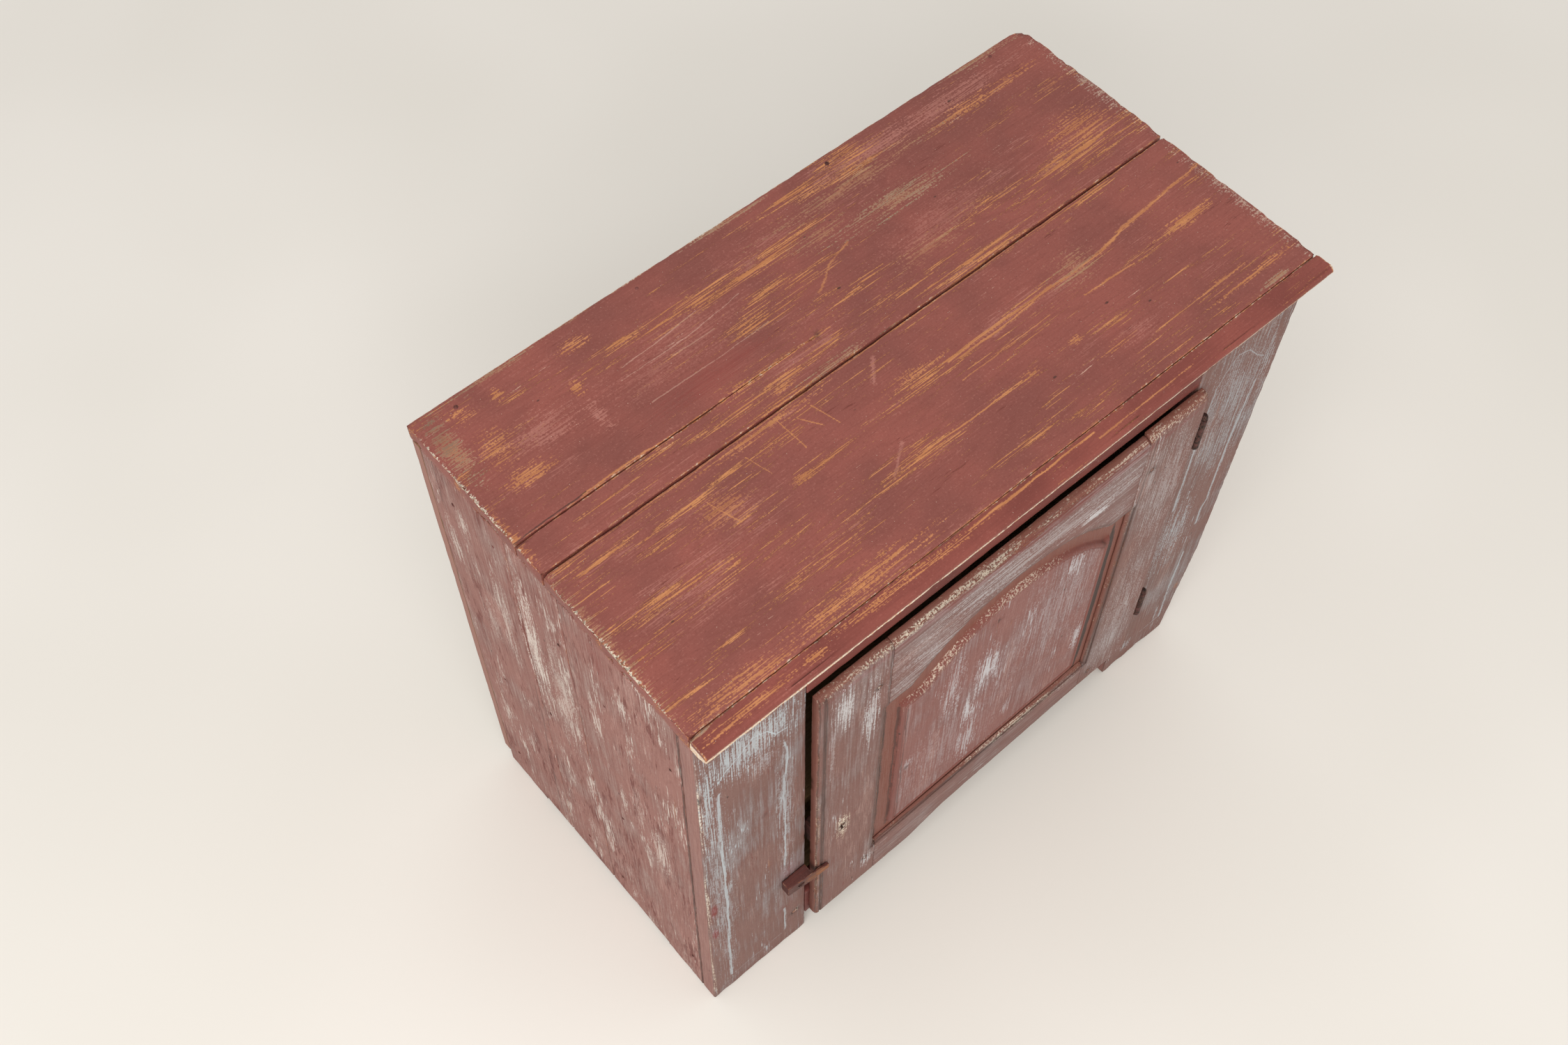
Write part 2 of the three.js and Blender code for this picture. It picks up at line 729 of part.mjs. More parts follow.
function buildDoor() {
  const pegHoles = doorPegs.map((spot) => pegHole(spot, doorPegRadius, doorFront, doorBack));
  const inner = [openingCutter(), grooveCutter()];

  let left = asSolid(block([doorLeft, doorFront, doorBottomLift], [panelLeft, doorBack, doorTop]));
  left = cut(left, ...inner, ...pegHoles, ...leftEdgeCutters(), topEdgeCutter(doorTop),
    doorMortise(doorTenons.top, panelLeft, 1), doorMortise(doorTenons.bottom, panelLeft, 1),
    ...keyholeCutters(doorFront, doorBack));
  const screwStart = doorBack - lockScrewLength - fitGap;
  const screwHoleDepth = lockScrewLength + fitGap + cutOverrun;
  left = cut(left, ...lockScrewCentres.map((centre) => lockScrewHole(centre, screwStart, screwHoleDepth)));
  place('door_stile_left', left, paintDoor);

  const rightTop = doorTop + doorRightStileRise;
  let right = asSolid(block([panelRight, doorFront, doorBottomRight], [doorRight, doorBack, rightTop]));
  right = cut(right, ...inner, ...pegHoles, topEdgeCutter(rightTop),
    doorMortise(doorTenons.top, panelRight, -1), doorMortise(doorTenons.bottom, panelRight, -1));
  for (const level of Object.values(hingeLevels)) {
    const low = level + hingeKnuckleLength + fitGap + hingeBladeShoulder;
    const high = low + hingeKnuckleLength - 2 * hingeBladeShoulder;
    right = cut(right, block(
      [doorRight - hingeDoorBladeLength - fitGap, doorBladeFront - fitGap, low - fitGap],
      [doorRight + cutOverrun, doorBladeBack + fitGap, high + fitGap],
    ));
  }
  place('door_stile_right', right, paintDoor);

  const topBlank = block(
    [panelLeft + fitGap, doorFront, panelShoulder - cutOverrun],
    [panelRight - fitGap, doorBack, doorTop],
  );
  const topRail = join(cut(asSolid(topBlank), ...inner, topEdgeCutter(doorTop)), ...tenonEnds(doorTenons.top));
  place('door_rail_top', cut(topRail, ...pegHoles), paintDoor);

  const span = panelRight - panelLeft;
  const stepHeight = doorBottomDrop * doorBottomStepRiseShare;
  const bottomOutline = [
    [panelLeft + fitGap, doorBottomLift],
    [panelLeft + (span * doorBottomStepShare) / 2, doorBottomLift],
    [panelLeft + span * doorBottomStepShare, doorBottomLift + stepHeight],
    [panelRight - fitGap, doorBottomRight],
    [panelRight - fitGap, panelBottomRight + cutOverrun],
    [panelLeft + fitGap, panelBottomRight + cutOverrun],
  ];
  const bottomBlank = platePrism(bottomOutline, doorFront, doorBack);
  const bottomRail = join(cut(asSolid(bottomBlank), ...inner), ...tenonEnds(doorTenons.bottom));
  place('door_rail_bottom', cut(bottomRail, ...pegHoles), paintDoor);

  const tongueOutline = grown(opening, doorGrooveDepth - 2 * fitGap);
  place('door_panel', asSolid(loft([
    { outline: field, y: doorFront + fieldSink },
    { outline: between(opening, field, stepShare), y: doorFront + stepDepth },
    { outline: between(opening, field, ridgeShare), y: doorFront + ridgeDepth },
    { outline: between(opening, field, recessShare), y: tenonFront },
    { outline: tongueOutline, y: tenonFront },
    { outline: tongueOutline, y: tenonBack },
  ])), paintDoor);

  doorPegs.forEach((spot) => {
    place(`door_peg_${spot.name}`, asSolid(peg(spot, doorPegRadius, doorFront, doorBack)), bareWood);
  });
}

// Each hinge has a case half below, a door half with a ball tip that lifts off above, and a pin between them
function buildHinges() {
  for (const [name, level] of Object.entries(hingeLevels)) {
    const doorLow = level + hingeKnuckleLength + fitGap;
    const pinLow = level + hingePinCover;
    const pinLength = hingeTop(level) - hingePinCover - pinLow;
    const bore = bar(axisZ, [hingeX, hingeY, pinLow - fitGap], pinLength + 2 * fitGap,
      hingePinRadius + fitGap, roundSides);
    const caseBlade = block(
      [hingeX - halfBlade, hingeY + hingePinRadius + hingeBladeThickness, level + hingeBladeShoulder],
      [hingeX + halfBlade, hingeY + hingeRadius + hingeCaseBladeLength,
        level + hingeKnuckleLength - hingeBladeShoulder],
    );
    const doorBlade = block(
      [doorRight - hingeDoorBladeLength, doorBladeFront, doorLow + hingeBladeShoulder],
      [hingeX, doorBladeBack, doorLow + hingeKnuckleLength - hingeBladeShoulder],
    );
    const tip = new THREE.SphereGeometry(hingeTipRadius, hingeSides, roundSides)
      .translate(hingeX, hingeY, hingeTop(level) + hingeTipRadius - hingeTipSink);
    const caseKnuckle = bar(axisZ, [hingeX, hingeY, level], hingeKnuckleLength, hingeRadius, hingeSides);
    const doorKnuckle = bar(axisZ, [hingeX, hingeY, doorLow], hingeKnuckleLength, hingeRadius, hingeSides);
    const pin = bar(axisZ, [hingeX, hingeY, pinLow], pinLength, hingePinRadius, roundSides);
    place(`hinge_${name}_case_half`, cut(join(asSolid(caseKnuckle), caseBlade), bore), rustyIron);
    place(`hinge_${name}_door_half`, cut(join(asSolid(doorKnuckle), doorBlade, tip), bore), rustyIron);
    place(`hinge_${name}_pin`, asSolid(pin), rustyIron);
  }
}

// The wooden turn button, stepped so that its arm lies over the door's edge
function buildTurnButton() {
  const pivot = openingLeft - buttonPivotFromStileEdge;
  const leftEnd = pivot - buttonPivotFromEnd;
  const tip = leftEnd + buttonLength;
  const step = pivot + buttonStepFromPivot;
  const rear = frameFront - buttonRearGap;
  const armRear = doorFront - buttonRearGap;
  const armFront = armRear - buttonArmThickness;
  const low = buttonLevel - buttonHeight / 2;
  const high = buttonLevel + buttonHeight / 2;
  const front = [
    [leftEnd, low], [step, low], [tip, buttonLevel - buttonTipHeight / 2],
    [tip, buttonLevel + buttonTipHeight / 2], [step, high], [leftEnd, high],
  ];
  const plan = [
    [leftEnd, rear - buttonRootProud], [tip, armFront], [tip, armRear],
    [step, armRear], [step, rear], [leftEnd, rear],
  ];
  const slope = (armFront - (rear - buttonRootProud)) / buttonLength;
  const faceAtPivot = rear - buttonRootProud + slope * buttonPivotFromEnd;
  const headFront = faceAtPivot + screwHeadSink;
  const headRear = headFront + screwHeadThickness;

  const profile = asSolid(platePrism(front, armFront - cutOverrun, rear));
  const blank = profile.intersect(asSolid(postPrism(plan, low, high)));
  const holeFront = armFront - cutOverrun;
  const holeStart = [pivot, holeFront, buttonLevel];
  const shankHole = bar(axisY, holeStart, rear + cutOverrun - holeFront, screwShankRadius + fitGap, roundSides);
  const headHole = bar(axisY, holeStart, headRear + fitGap - holeFront, screwHeadRadius + fitGap, roundSides);
  place('turn_button', cut(blank, shankHole, headHole), wornWood);

  const head = bar(axisY, [pivot, headFront, buttonLevel], screwHeadThickness, screwHeadRadius, roundSides);
  const shankFront = headFront + screwHeadThickness / 2;
  const shank = bar(axisY, [pivot, shankFront, buttonLevel], frameFront + screwDepth - shankFront,
    screwShankRadius, roundSides);
  const slot = block(
    [pivot - screwHeadRadius - cutOverrun, headFront - cutOverrun, buttonLevel - screwSlotWidth / 2],
    [pivot + screwHeadRadius + cutOverrun, headFront + screwSlotDepth, buttonLevel + screwSlotWidth / 2],
  );
  place('turn_button_screw', cut(join(asSolid(head), shank), slot), rustyIron);
}

// The lock on the door's back: an iron case, a bolt that a key throws behind the stile, and screws
function buildLock() {
  const lockBack = doorBack + lockThickness;
  const lockRight = lockLeft + lockLength;
  let lockCase = asSolid(block([lockLeft, doorBack, lockLow], [lockRight, lockBack, lockLow + lockHeight]));
  const channel = block(
    [lockLeft - cutOverrun, boltFront - fitGap, boltLow - fitGap],
    [lockRight - lockWall, boltFront + boltThickness + fitGap, boltLow + boltHeight + fitGap],
  );
  const chamber = block(
    [keyX - keyChamberWidth / 2, doorBack + lockWall, lockLow + lockWall],
    [keyX + keyChamberWidth / 2, lockBack - lockWall, boltLow],
  );
  lockCase = cut(lockCase, channel, chamber, ...keyholeCutters(doorBack, doorBack + lockWall),
    ...lockScrewCentres.map((c) => lockScrewHole(c, doorBack - cutOverrun, lockThickness + 2 * cutOverrun)));
  place('lock_case', lockCase, rustyIron);

  const bolt = block(
    [lockLeft, boltFront, boltLow],
    [lockLeft + boltLength, boltFront + boltThickness, boltLow + boltHeight],
  );
  const notch = block(
    [keyX - boltNotchWidth / 2, boltFront - cutOverrun, boltLow - cutOverrun],
    [keyX + boltNotchWidth / 2, boltFront + boltThickness + cutOverrun, boltLow + boltNotchDepth],
  );
  place('lock_bolt', cut(asSolid(bolt), notch), rustyIron);

  lockScrewCentres.forEach(([x, z], i) => {
    const shank = bar(axisY, [x, doorBack - lockScrewLength, z], lockScrewLength + lockThickness + fitGap,
      lockScrewRadius, pegSides);
    const head = bar(axisY, [x, lockBack + fitGap, z], lockScrewHeadThickness, lockScrewHeadRadius,
      pegSides, lockScrewRadius);
    place(`lock_screw_${i + 1}`, join(asSolid(shank), head), rustyIron);
  });
}

buildTop();
buildFrame();
buildSides();
buildBack();
buildInside();
buildDoor();
buildHinges();
buildTurnButton();
buildLock();

const model = new THREE.Group();
model.add(cabinet);

export default model;
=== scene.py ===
import json
import logging
import math
from dataclasses import dataclass, field, replace
from enum import Enum
from typing import Iterable, Iterator, Sequence

import bmesh
import bpy
from mathutils import Matrix, Vector, kdtree, noise


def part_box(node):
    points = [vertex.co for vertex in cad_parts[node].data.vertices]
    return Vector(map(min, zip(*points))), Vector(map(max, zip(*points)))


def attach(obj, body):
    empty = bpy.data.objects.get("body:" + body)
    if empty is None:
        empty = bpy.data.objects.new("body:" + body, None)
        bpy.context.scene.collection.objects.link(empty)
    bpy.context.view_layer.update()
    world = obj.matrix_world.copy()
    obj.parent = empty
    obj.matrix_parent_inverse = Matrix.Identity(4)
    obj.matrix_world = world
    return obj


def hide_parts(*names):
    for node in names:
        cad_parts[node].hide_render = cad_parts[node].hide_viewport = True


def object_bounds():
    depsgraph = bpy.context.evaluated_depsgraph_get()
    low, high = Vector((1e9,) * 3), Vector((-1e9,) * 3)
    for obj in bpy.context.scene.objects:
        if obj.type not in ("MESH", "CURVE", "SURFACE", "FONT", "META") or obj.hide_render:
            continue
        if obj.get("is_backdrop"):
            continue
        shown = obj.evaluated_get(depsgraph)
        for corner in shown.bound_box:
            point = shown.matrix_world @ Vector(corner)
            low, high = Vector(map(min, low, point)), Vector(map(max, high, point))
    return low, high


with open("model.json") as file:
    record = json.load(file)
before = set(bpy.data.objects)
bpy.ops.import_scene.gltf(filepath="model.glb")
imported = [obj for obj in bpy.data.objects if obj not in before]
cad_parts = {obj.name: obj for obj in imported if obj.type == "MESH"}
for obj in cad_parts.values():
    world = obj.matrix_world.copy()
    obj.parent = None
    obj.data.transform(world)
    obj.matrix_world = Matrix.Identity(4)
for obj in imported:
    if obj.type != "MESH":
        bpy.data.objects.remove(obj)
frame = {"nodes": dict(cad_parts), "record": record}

MM = 0.001
LOG = logging.getLogger("cupboard")
LOW, HIGH = (Vector(corner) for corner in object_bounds())
TOP_LEFT_END = Vector(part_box("top_nosing")[0])

Colour = tuple[float, float, float, float]
Triple = tuple[float, float, float]
Span = tuple[float, float]
Socket = bpy.types.NodeSocket

BOARD_SHIFT = (0.7, 0.31, 0.53)


def spot(x: float, y: float, z: float) -> Vector:
    """A place in metres, from millimetres counted from the top's left end, the nosing's face and the floor.

    Args:
        x: distance to the right of the top's left end.
        y: distance behind the nosing's front face.
        z: height above the floor.

    Returns:
        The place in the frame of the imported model.
    """
    return Vector((TOP_LEFT_END.x, TOP_LEFT_END.y, 0.0)) + Vector((x, y, z)) * MM


def colour(red: int, green: int, blue: int) -> Colour:
    """A linear colour from its written 0 to 255 values.

    Args:
        red: the red value.
        green: the green value.
        blue: the blue value.

    Returns:
        Linear red, green, blue and an alpha of 1.
    """
    parts = [value / 255 for value in (red, green, blue)]
    linear = [p / 12.92 if p <= 0.04045 else ((p + 0.055) / 1.055) ** 2.4 for p in parts]
    return (*linear, 1.0)


class Grain(Enum):
    """Which way a board's grain runs. The value puts that axis first."""

    SIDEWAYS = "XYZ"
    UPRIGHT = "ZXY"
    FRONT_TO_BACK = "YXZ"


class Face(Enum):
    """A side of the cupboard: its marks' two axes, the axis that it looks along, and which way."""

    TOP = ("X", "Y", "Z", 1.0)
    FRONT = ("X", "Z", "Y", -1.0)
    LEFT = ("Y", "Z", "X", -1.0)
    RIGHT = ("Y", "Z", "X", 1.0)


class Layer(Enum):
    """What shows in a worn patch of a painted face."""

    BARE = "bare"
    BLOOM = "bloom"
    DENT = "dent"
    WEATHERED = "weathered"
    WASH = "wash"
    FLAKES = "flakes"
    FRESH = "fresh"
    # Dark dirt, seams and holes, and also painted shade: dark lines and patches in grooves, gaps and sunk margins.
    GRIME = "grime"


class Net:
    """A node tree, written as calls that give back sockets."""

    mix_share = 0
    mix_first = 6
    mix_second = 7
    mix_colour = 2

    def __init__(self, tree: bpy.types.NodeTree) -> None:
        """Keeps the tree that the calls add to."""
        self.tree = tree

    def feed(self, socket: Socket, value: object) -> None:
        """Gives an input its value.

        Args:
            socket: the input.
            value: another node's socket, or a constant.
        """
        if isinstance(value, bpy.types.NodeSocket):
            self.tree.links.new(value, socket)
        else:
            socket.default_value = value

    def add(self, kind: str, links: dict | None = None, **settings: object) -> bpy.types.Node:
        """Adds a node.

        Args:
            kind: the node's type name.
            links: socket name or number to the socket or constant that it takes.
            settings: the node's own settings.

        Returns:
            The new node.
        """
        node = self.tree.nodes.new(kind)
        for name, value in settings.items():
            setattr(node, name, value)
        for name, value in (links or {}).items():
            self.feed(node.inputs[name], value)
        return node

    def math(self, operation: str, first: object, second: object = 0.0, clamp: bool = False) -> Socket:
        """One sum on two values."""
        node = self.add("ShaderNodeMath", {0: first, 1: second}, operation=operation, use_clamp=clamp)
        return node.outputs[0]

    def times(self, first: object, second: object) -> Socket:
        """A value times another."""
        return self.math("MULTIPLY", first, second)

    def plus(self, first: object, second: object) -> Socket:
        """A value plus another."""
        return self.math("ADD", first, second)

    def minus(self, first: object, second: object) -> Socket:
        """A value less another."""
        return self.math("SUBTRACT", first, second)

    def most(self, first: object, second: object) -> Socket:
        """The larger of two values."""
        return self.math("MAXIMUM", first, second)

    def vector(self, operation: str, first: object, second: object, output: str = "Vector") -> Socket:
        """One sum on two vectors."""
        return self.add("ShaderNodeVectorMath", {0: first, 1: second}, operation=operation).outputs[output]

    def scaled(self, vector: object, factors: object) -> Socket:
        """A vector times another, axis by axis."""
        return self.vector("MULTIPLY", vector, factors)

    def shifted(self, vector: object, offset: object) -> Socket:
        """A vector plus another."""
        return self.vector("ADD", vector, offset)

    def attribute(self, name: str, output: str = "Fac") -> Socket:
        """An attribute of the mesh."""
        return self.add("ShaderNodeAttribute", attribute_name=name).outputs[output]

    def step(self, value: object, low: object, high: object) -> Socket:
        """A soft step from 0 below low to 1 above high."""
        links = {"Value": value, "From Min": low, "From Max": high}
        return self.add("ShaderNodeMapRange", links, interpolation_type="SMOOTHSTEP").outputs["Result"]

    def mix(self, share: object, first: object, second: object) -> Socket:
        """Blends two colours.

        Args:
            share: how much of the second colour shows, from 0 to 1.
            first: a colour or its socket.
            second: a colour or its socket.

        Returns:
            The blended colour.
        """
        links = {self.mix_share: share, self.mix_first: first, self.mix_second: second}
        return self.add("ShaderNodeMix", links, data_type="RGBA", clamp_factor=True).outputs[self.mix_colour]

    def noise(self, vector: object, scale: float, detail: float, roughness: float = 0.5) -> Socket:
        """Soft noise about 0.5."""
        links = {"Vector": vector, "Scale": scale, "Detail": detail, "Roughness": roughness}
        return self.add("ShaderNodeTexNoise", links).outputs[0]

    def group(self, tree: bpy.types.NodeTree, **links: object) -> bpy.types.Node:
        """Places a shared group."""
        return self.add("ShaderNodeGroup", links, node_tree=tree)

    def bump(self, height: Socket, strength: float, depth: float) -> Socket:
        """The normal of a relief whose depth is in millimetres."""
        links = {"Height": height, "Strength": strength, "Distance": depth * MM}
        return self.add("ShaderNodeBump", links).outputs[0]

    def surface(self, values: dict[str, object]) -> None:
        """Ends a material with the shader that takes these values."""
        shader = self.add("ShaderNodeBsdfPrincipled", values)
        self.add("ShaderNodeOutputMaterial", {"Surface": shader.outputs[0]})


def new_material(name: str) -> tuple[bpy.types.Material, Net]:
    """Starts a material.

    Args:
        name: the material's name.

    Returns:
        The material without any node, and the net to build in.
    """
    made = bpy.data.materials.new(name)
    made.use_nodes = True
    made.node_tree.nodes.clear()
    return made, Net(made.node_tree)


def new_object(name: str, data: bpy.types.ID) -> bpy.types.Object:
    """Puts a new object into the scene.

    Args:
        name: the object's name.
        data: the mesh, lamp or camera that it shows.

    Returns:
        The object.
    """
    made = bpy.data.objects.new(name, data)
    bpy.context.scene.collection.objects.link(made)
    return made


def new_group(
    name: str, inputs: Sequence[tuple[str, str]], outputs: Sequence[str],
) -> tuple[Net, dict[str, Socket], bpy.types.Node]:
    """Starts a shader group.

    Args:
        name: the group's name.
        inputs: each input's name and kind, Vector or Float.
        outputs: the names of its values.

    Returns:
        The net to build in, the input sockets by name, and the output node.
    """
    tree = bpy.data.node_groups.new(name, "ShaderNodeTree")
    for label, kind in inputs:
        tree.interface.new_socket(name=label, in_out="INPUT", socket_type=f"NodeSocket{kind}")
    for label in outputs:
        tree.interface.new_socket(name=label, in_out="OUTPUT", socket_type="NodeSocketFloat")
    start = tree.nodes.new("NodeGroupInput")
    end = tree.nodes.new("NodeGroupOutput")
    return Net(tree), {socket.name: socket for socket in start.outputs if socket.name}, end


class Effects:
    """The shader groups that several finishes share."""

    def __init__(self) -> None:
        """Builds each group once."""
        self.grain = self._grain()
        self.streaks = self._streaks()
        self.patch = self._patch()
        self.line = self._line()
        self.edge = self._edge()
        self.pits = self._pits()

    def _grain(self) -> bpy.types.NodeTree:
        """Long fibres and the rings between them. The grain runs along the first axis.

        Returns:
            The group, which gives Fibres and Rings.
        """
        net, given, end = new_group("wood_grain", [("Vector", "Vector")], ["Fibres", "Rings"])
        fibres = net.noise(net.scaled(given["Vector"], (9.0, 620.0, 620.0)), 1.0, 4.0, 0.6)
        net.tree.links.new(net.step(fibres, 0.3, 0.72), end.inputs["Fibres"])
        bent = net.noise(net.scaled(given["Vector"], (1.3, 17.0, 17.0)), 1.0, 2.0)
        rings = net.math("SINE", net.times(bent, 150.0))
        evened = net.add("ShaderNodeMath", {0: rings, 1: 0.5, 2: 0.5}, operation="MULTIPLY_ADD").outputs[0]
        net.tree.links.new(evened, end.inputs["Rings"])
        return net.tree

    def _streaks(self) -> bpy.types.NodeTree:
        """Thin marks along the grain, gathered in drifts.

        Returns:
            The group, which gives the Mask and the Raw streaks.
        """
        inputs = [("Vector", "Vector"), ("Stretch", "Vector"), ("Drift", "Vector"), ("Cover", "Float"),
                  ("Soft", "Float"), ("Grit", "Float")]
        net, given, end = new_group("grain_streaks", inputs, ["Mask", "Raw"])
        fine = net.noise(net.scaled(given["Vector"], given["Stretch"]), 1.0, 5.0, 0.66)
        coarse = net.noise(net.scaled(given["Vector"], given["Drift"]), 1.0, 3.0, 0.6)
        raw = net.plus(fine, net.times(net.minus(coarse, 0.5), 0.9))
        raw = net.plus(raw, net.times(net.minus(given["Grit"], 0.5), 0.25))
        start = net.minus(0.78, net.times(given["Cover"], 0.5))
        mask = net.step(raw, start, net.plus(start, given["Soft"]))
        net.tree.links.new(mask, end.inputs["Mask"])
        net.tree.links.new(net.step(fine, 0.36, 0.64), end.inputs["Raw"])
        return net.tree

    def _patch(self) -> bpy.types.NodeTree:
        """A rounded patch with a torn edge.

        Returns:
            The group, which gives the Mask.
        """
        inputs = [("Vector", "Vector"), ("Centre", "Vector"), ("Reach", "Vector"), ("Ragged", "Float"),
                  ("Torn", "Float")]
        net, given, end = new_group("worn_patch", inputs, ["Mask"])
        offset = net.vector("SUBTRACT", given["Vector"], given["Centre"])
        share = net.vector("DIVIDE", offset, given["Reach"])
        far = net.add("ShaderNodeVectorMath", {0: share}, operation="LENGTH").outputs["Value"]
        torn = net.times(net.minus(given["Ragged"], 0.72), given["Torn"])
        depth = net.plus(net.minus(1.0, far), torn)
        inside = net.step(far, 1.5, 1.2)
        net.tree.links.new(net.times(net.step(depth, 0.0, 0.16), inside), end.inputs["Mask"])
        return net.tree

    def _line(self) -> bpy.types.NodeTree:
        """A drawn line between two places, broken up along its length.

        Returns:
            The group, which gives the Mask.
        """
        inputs = [("Vector", "Vector"), ("From", "Vector"), ("To", "Vector"), ("Width", "Float"),
                  ("Ragged", "Float")]
        net, given, end = new_group("drawn_line", inputs, ["Mask"])
        along = net.vector("SUBTRACT", given["To"], given["From"])
        here = net.vector("SUBTRACT", given["Vector"], given["From"])
        reach = net.vector("DOT_PRODUCT", here, along, "Value")
        whole = net.vector("DOT_PRODUCT", along, along, "Value")
        share = net.math("DIVIDE", reach, whole, clamp=True)
        foot = net.add("ShaderNodeVectorMath", {0: along, "Scale": share}, operation="SCALE").outputs[0]
        gap = net.vector("DISTANCE", here, foot, "Value")
        wide = net.times(given["Width"], net.times(given["Ragged"], 2.0))
        mask = net.step(gap, wide, net.times(wide, 0.35))
        net.tree.links.new(mask, end.inputs["Mask"])
        return net.tree

    def _edge(self) -> bpy.types.NodeTree:
        """What has rubbed or flaked off near an arris.

        Returns:
            The group, which gives Bare wood and Chips.
        """
        inputs = [("Wear", "Float"), ("Vector", "Vector"), ("Amount", "Float"), ("Ragged", "Float")]
        net, given, end = new_group("edge_wear", inputs, ["Bare", "Chips"])
        broad = net.noise(given["Vector"], 38.0, 4.0, 0.6)
        chips = net.noise(given["Vector"], 260.0, 3.0, 0.6)
        level = net.plus(given["Wear"], net.times(net.minus(broad, 0.5), 1.5))
        level = net.plus(level, net.times(net.minus(given["Ragged"], 0.5), 0.5))
        start = net.minus(1.25, given["Amount"])
        touched = net.step(given["Wear"], 0.5, 0.85)
        worn = net.times(net.step(level, start, net.plus(start, 0.12)), touched)
        net.tree.links.new(worn, end.inputs["Bare"])
        flaked = net.times(net.step(chips, 0.52, 0.6), net.step(level, start, net.plus(start, 0.3)))
        net.tree.links.new(net.times(flaked, touched), end.inputs["Chips"])
        return net.tree

    def _pits(self) -> bpy.types.NodeTree:
        """Small round spots: some dark, as worm holes and dents are, and some light.

        Returns:
            The group, which gives the dark Mask and the Light one.
        """
        inputs = [("Vector", "Vector"), ("Rate", "Float"), ("Share", "Float")]
        net, given, end = new_group("pits", inputs, ["Mask", "Light"])
        links = {"Vector": given["Vector"], "Scale": given["Rate"], "Randomness": 1.0}
        cells = net.add("ShaderNodeTexVoronoi", links)
        chosen = net.add("ShaderNodeSeparateColor", {0: cells.outputs["Color"]})
        dot = net.step(cells.outputs["Distance"], 0.17, 0.08)
        picked = net.math("LESS_THAN", chosen.outputs[0], given["Share"])
        net.tree.links.new(net.times(dot, picked), end.inputs["Mask"])
        lit = net.math("LESS_THAN", chosen.outputs[1], given["Share"])
        net.tree.links.new(net.times(dot, lit), end.inputs["Light"])
        return net.tree


EFFECTS = Effects()


@dataclass(frozen=True)
class Patch:
    """A place where one layer shows: its two spans on the face, in millimetres."""

    layer: Layer
    across: Span
    along: Span
    strength: float = 1.0
    torn: float = 1.7

    def masks(self, net: Net, place: Socket, ragged: Socket) -> list[Socket]:
        """The patch's mask.

        Args:
            net: the material's net.
            place: the place on the face in millimetres.
            ragged: noise from 0 to 1 that tears the edge.

        Returns:
            One mask in a list.
        """
        centre = (sum(self.across) / 2, sum(self.along) / 2, 0.0)
        reach = ((self.across[1] - self.across[0]) / 2, (self.along[1] - self.along[0]) / 2, 1.0)
        return [net.group(EFFECTS.patch, Vector=place, Centre=centre, Reach=reach, Ragged=ragged,
                          Torn=self.torn).outputs["Mask"]]


@dataclass(frozen=True)
class Stroke:
    """A scratched or chalky line through some places on the face, in millimetres."""

    layer: Layer
    points: tuple[Span, ...]
    width: float = 1.5
    strength: float = 1.0

    def masks(self, net: Net, place: Socket, ragged: Socket) -> Iterator[Socket]:
        """The line's masks.

        Args:
            net: the material's net.
            place: the place on the face in millimetres.
            ragged: noise from 0 to 1 that breaks the line.

        Yields:
            A mask for each straight length.
        """
        for start, end in zip(self.points, self.points[1:]):
            yield net.group(EFFECTS.line, Vector=place, From=(*start, 0.0), To=(*end, 0.0), Width=self.width,
                            Ragged=ragged).outputs["Mask"]


def patches(layer: Layer, *rows: tuple[float, ...]) -> tuple[Patch, ...]:
    """Patches of one layer, from rows of left, right, low, high and, if not the usual, strength and torn."""
    return tuple(Patch(layer, (left, right), (low, high), *looks) for left, right, low, high, *looks in rows)


def strokes(layer: Layer, *rows: tuple) -> tuple[Stroke, ...]:
    """Strokes of one layer, from rows of points and, if not the usual, width and strength."""
    return tuple(Stroke(layer, *row) for row in rows)


@dataclass(frozen=True)
class StreakKind:
    """One kind of streak: where it starts in the noise, how fine it and its drifts are, and its soft edge."""

    shift: Triple | None
    stretch: Triple
    drift: Triple
    soft: float

    def of(self, net: Net, along: Socket, cover: float, grit: Socket) -> bpy.types.Node:
        """The streaks on a piece.

        Args:
            net: the material's net.
            along: the place with the grain on its first axis.
            cover: how much of the surface they cover.
            grit: fine noise that roughens them.

        Returns:
            The group's node, with the outputs Mask and Raw.
        """
        place = net.shifted(along, self.shift) if self.shift else along
        return net.group(EFFECTS.streaks, Vector=place, Stretch=self.stretch, Drift=self.drift, Cover=cover,
                         Soft=self.soft, Grit=grit)


BARE_STREAKS = StreakKind(None, (14.0, 520.0, 520.0), (4.0, 30.0, 30.0), 0.03)
RUBBED_STREAKS = StreakKind((0.31, 0.17, 0.23), (26.0, 560.0, 560.0), (5.0, 22.0, 22.0), 0.16)
CRACKS = StreakKind((0.77, 0.11, 0.63), (34.0, 420.0, 420.0), (9.0, 40.0, 40.0), 0.05)
WASH_STREAKS = StreakKind((0.53, 0.29, 0.41), (26.0, 520.0, 520.0), (6.0, 26.0, 26.0), 0.07)


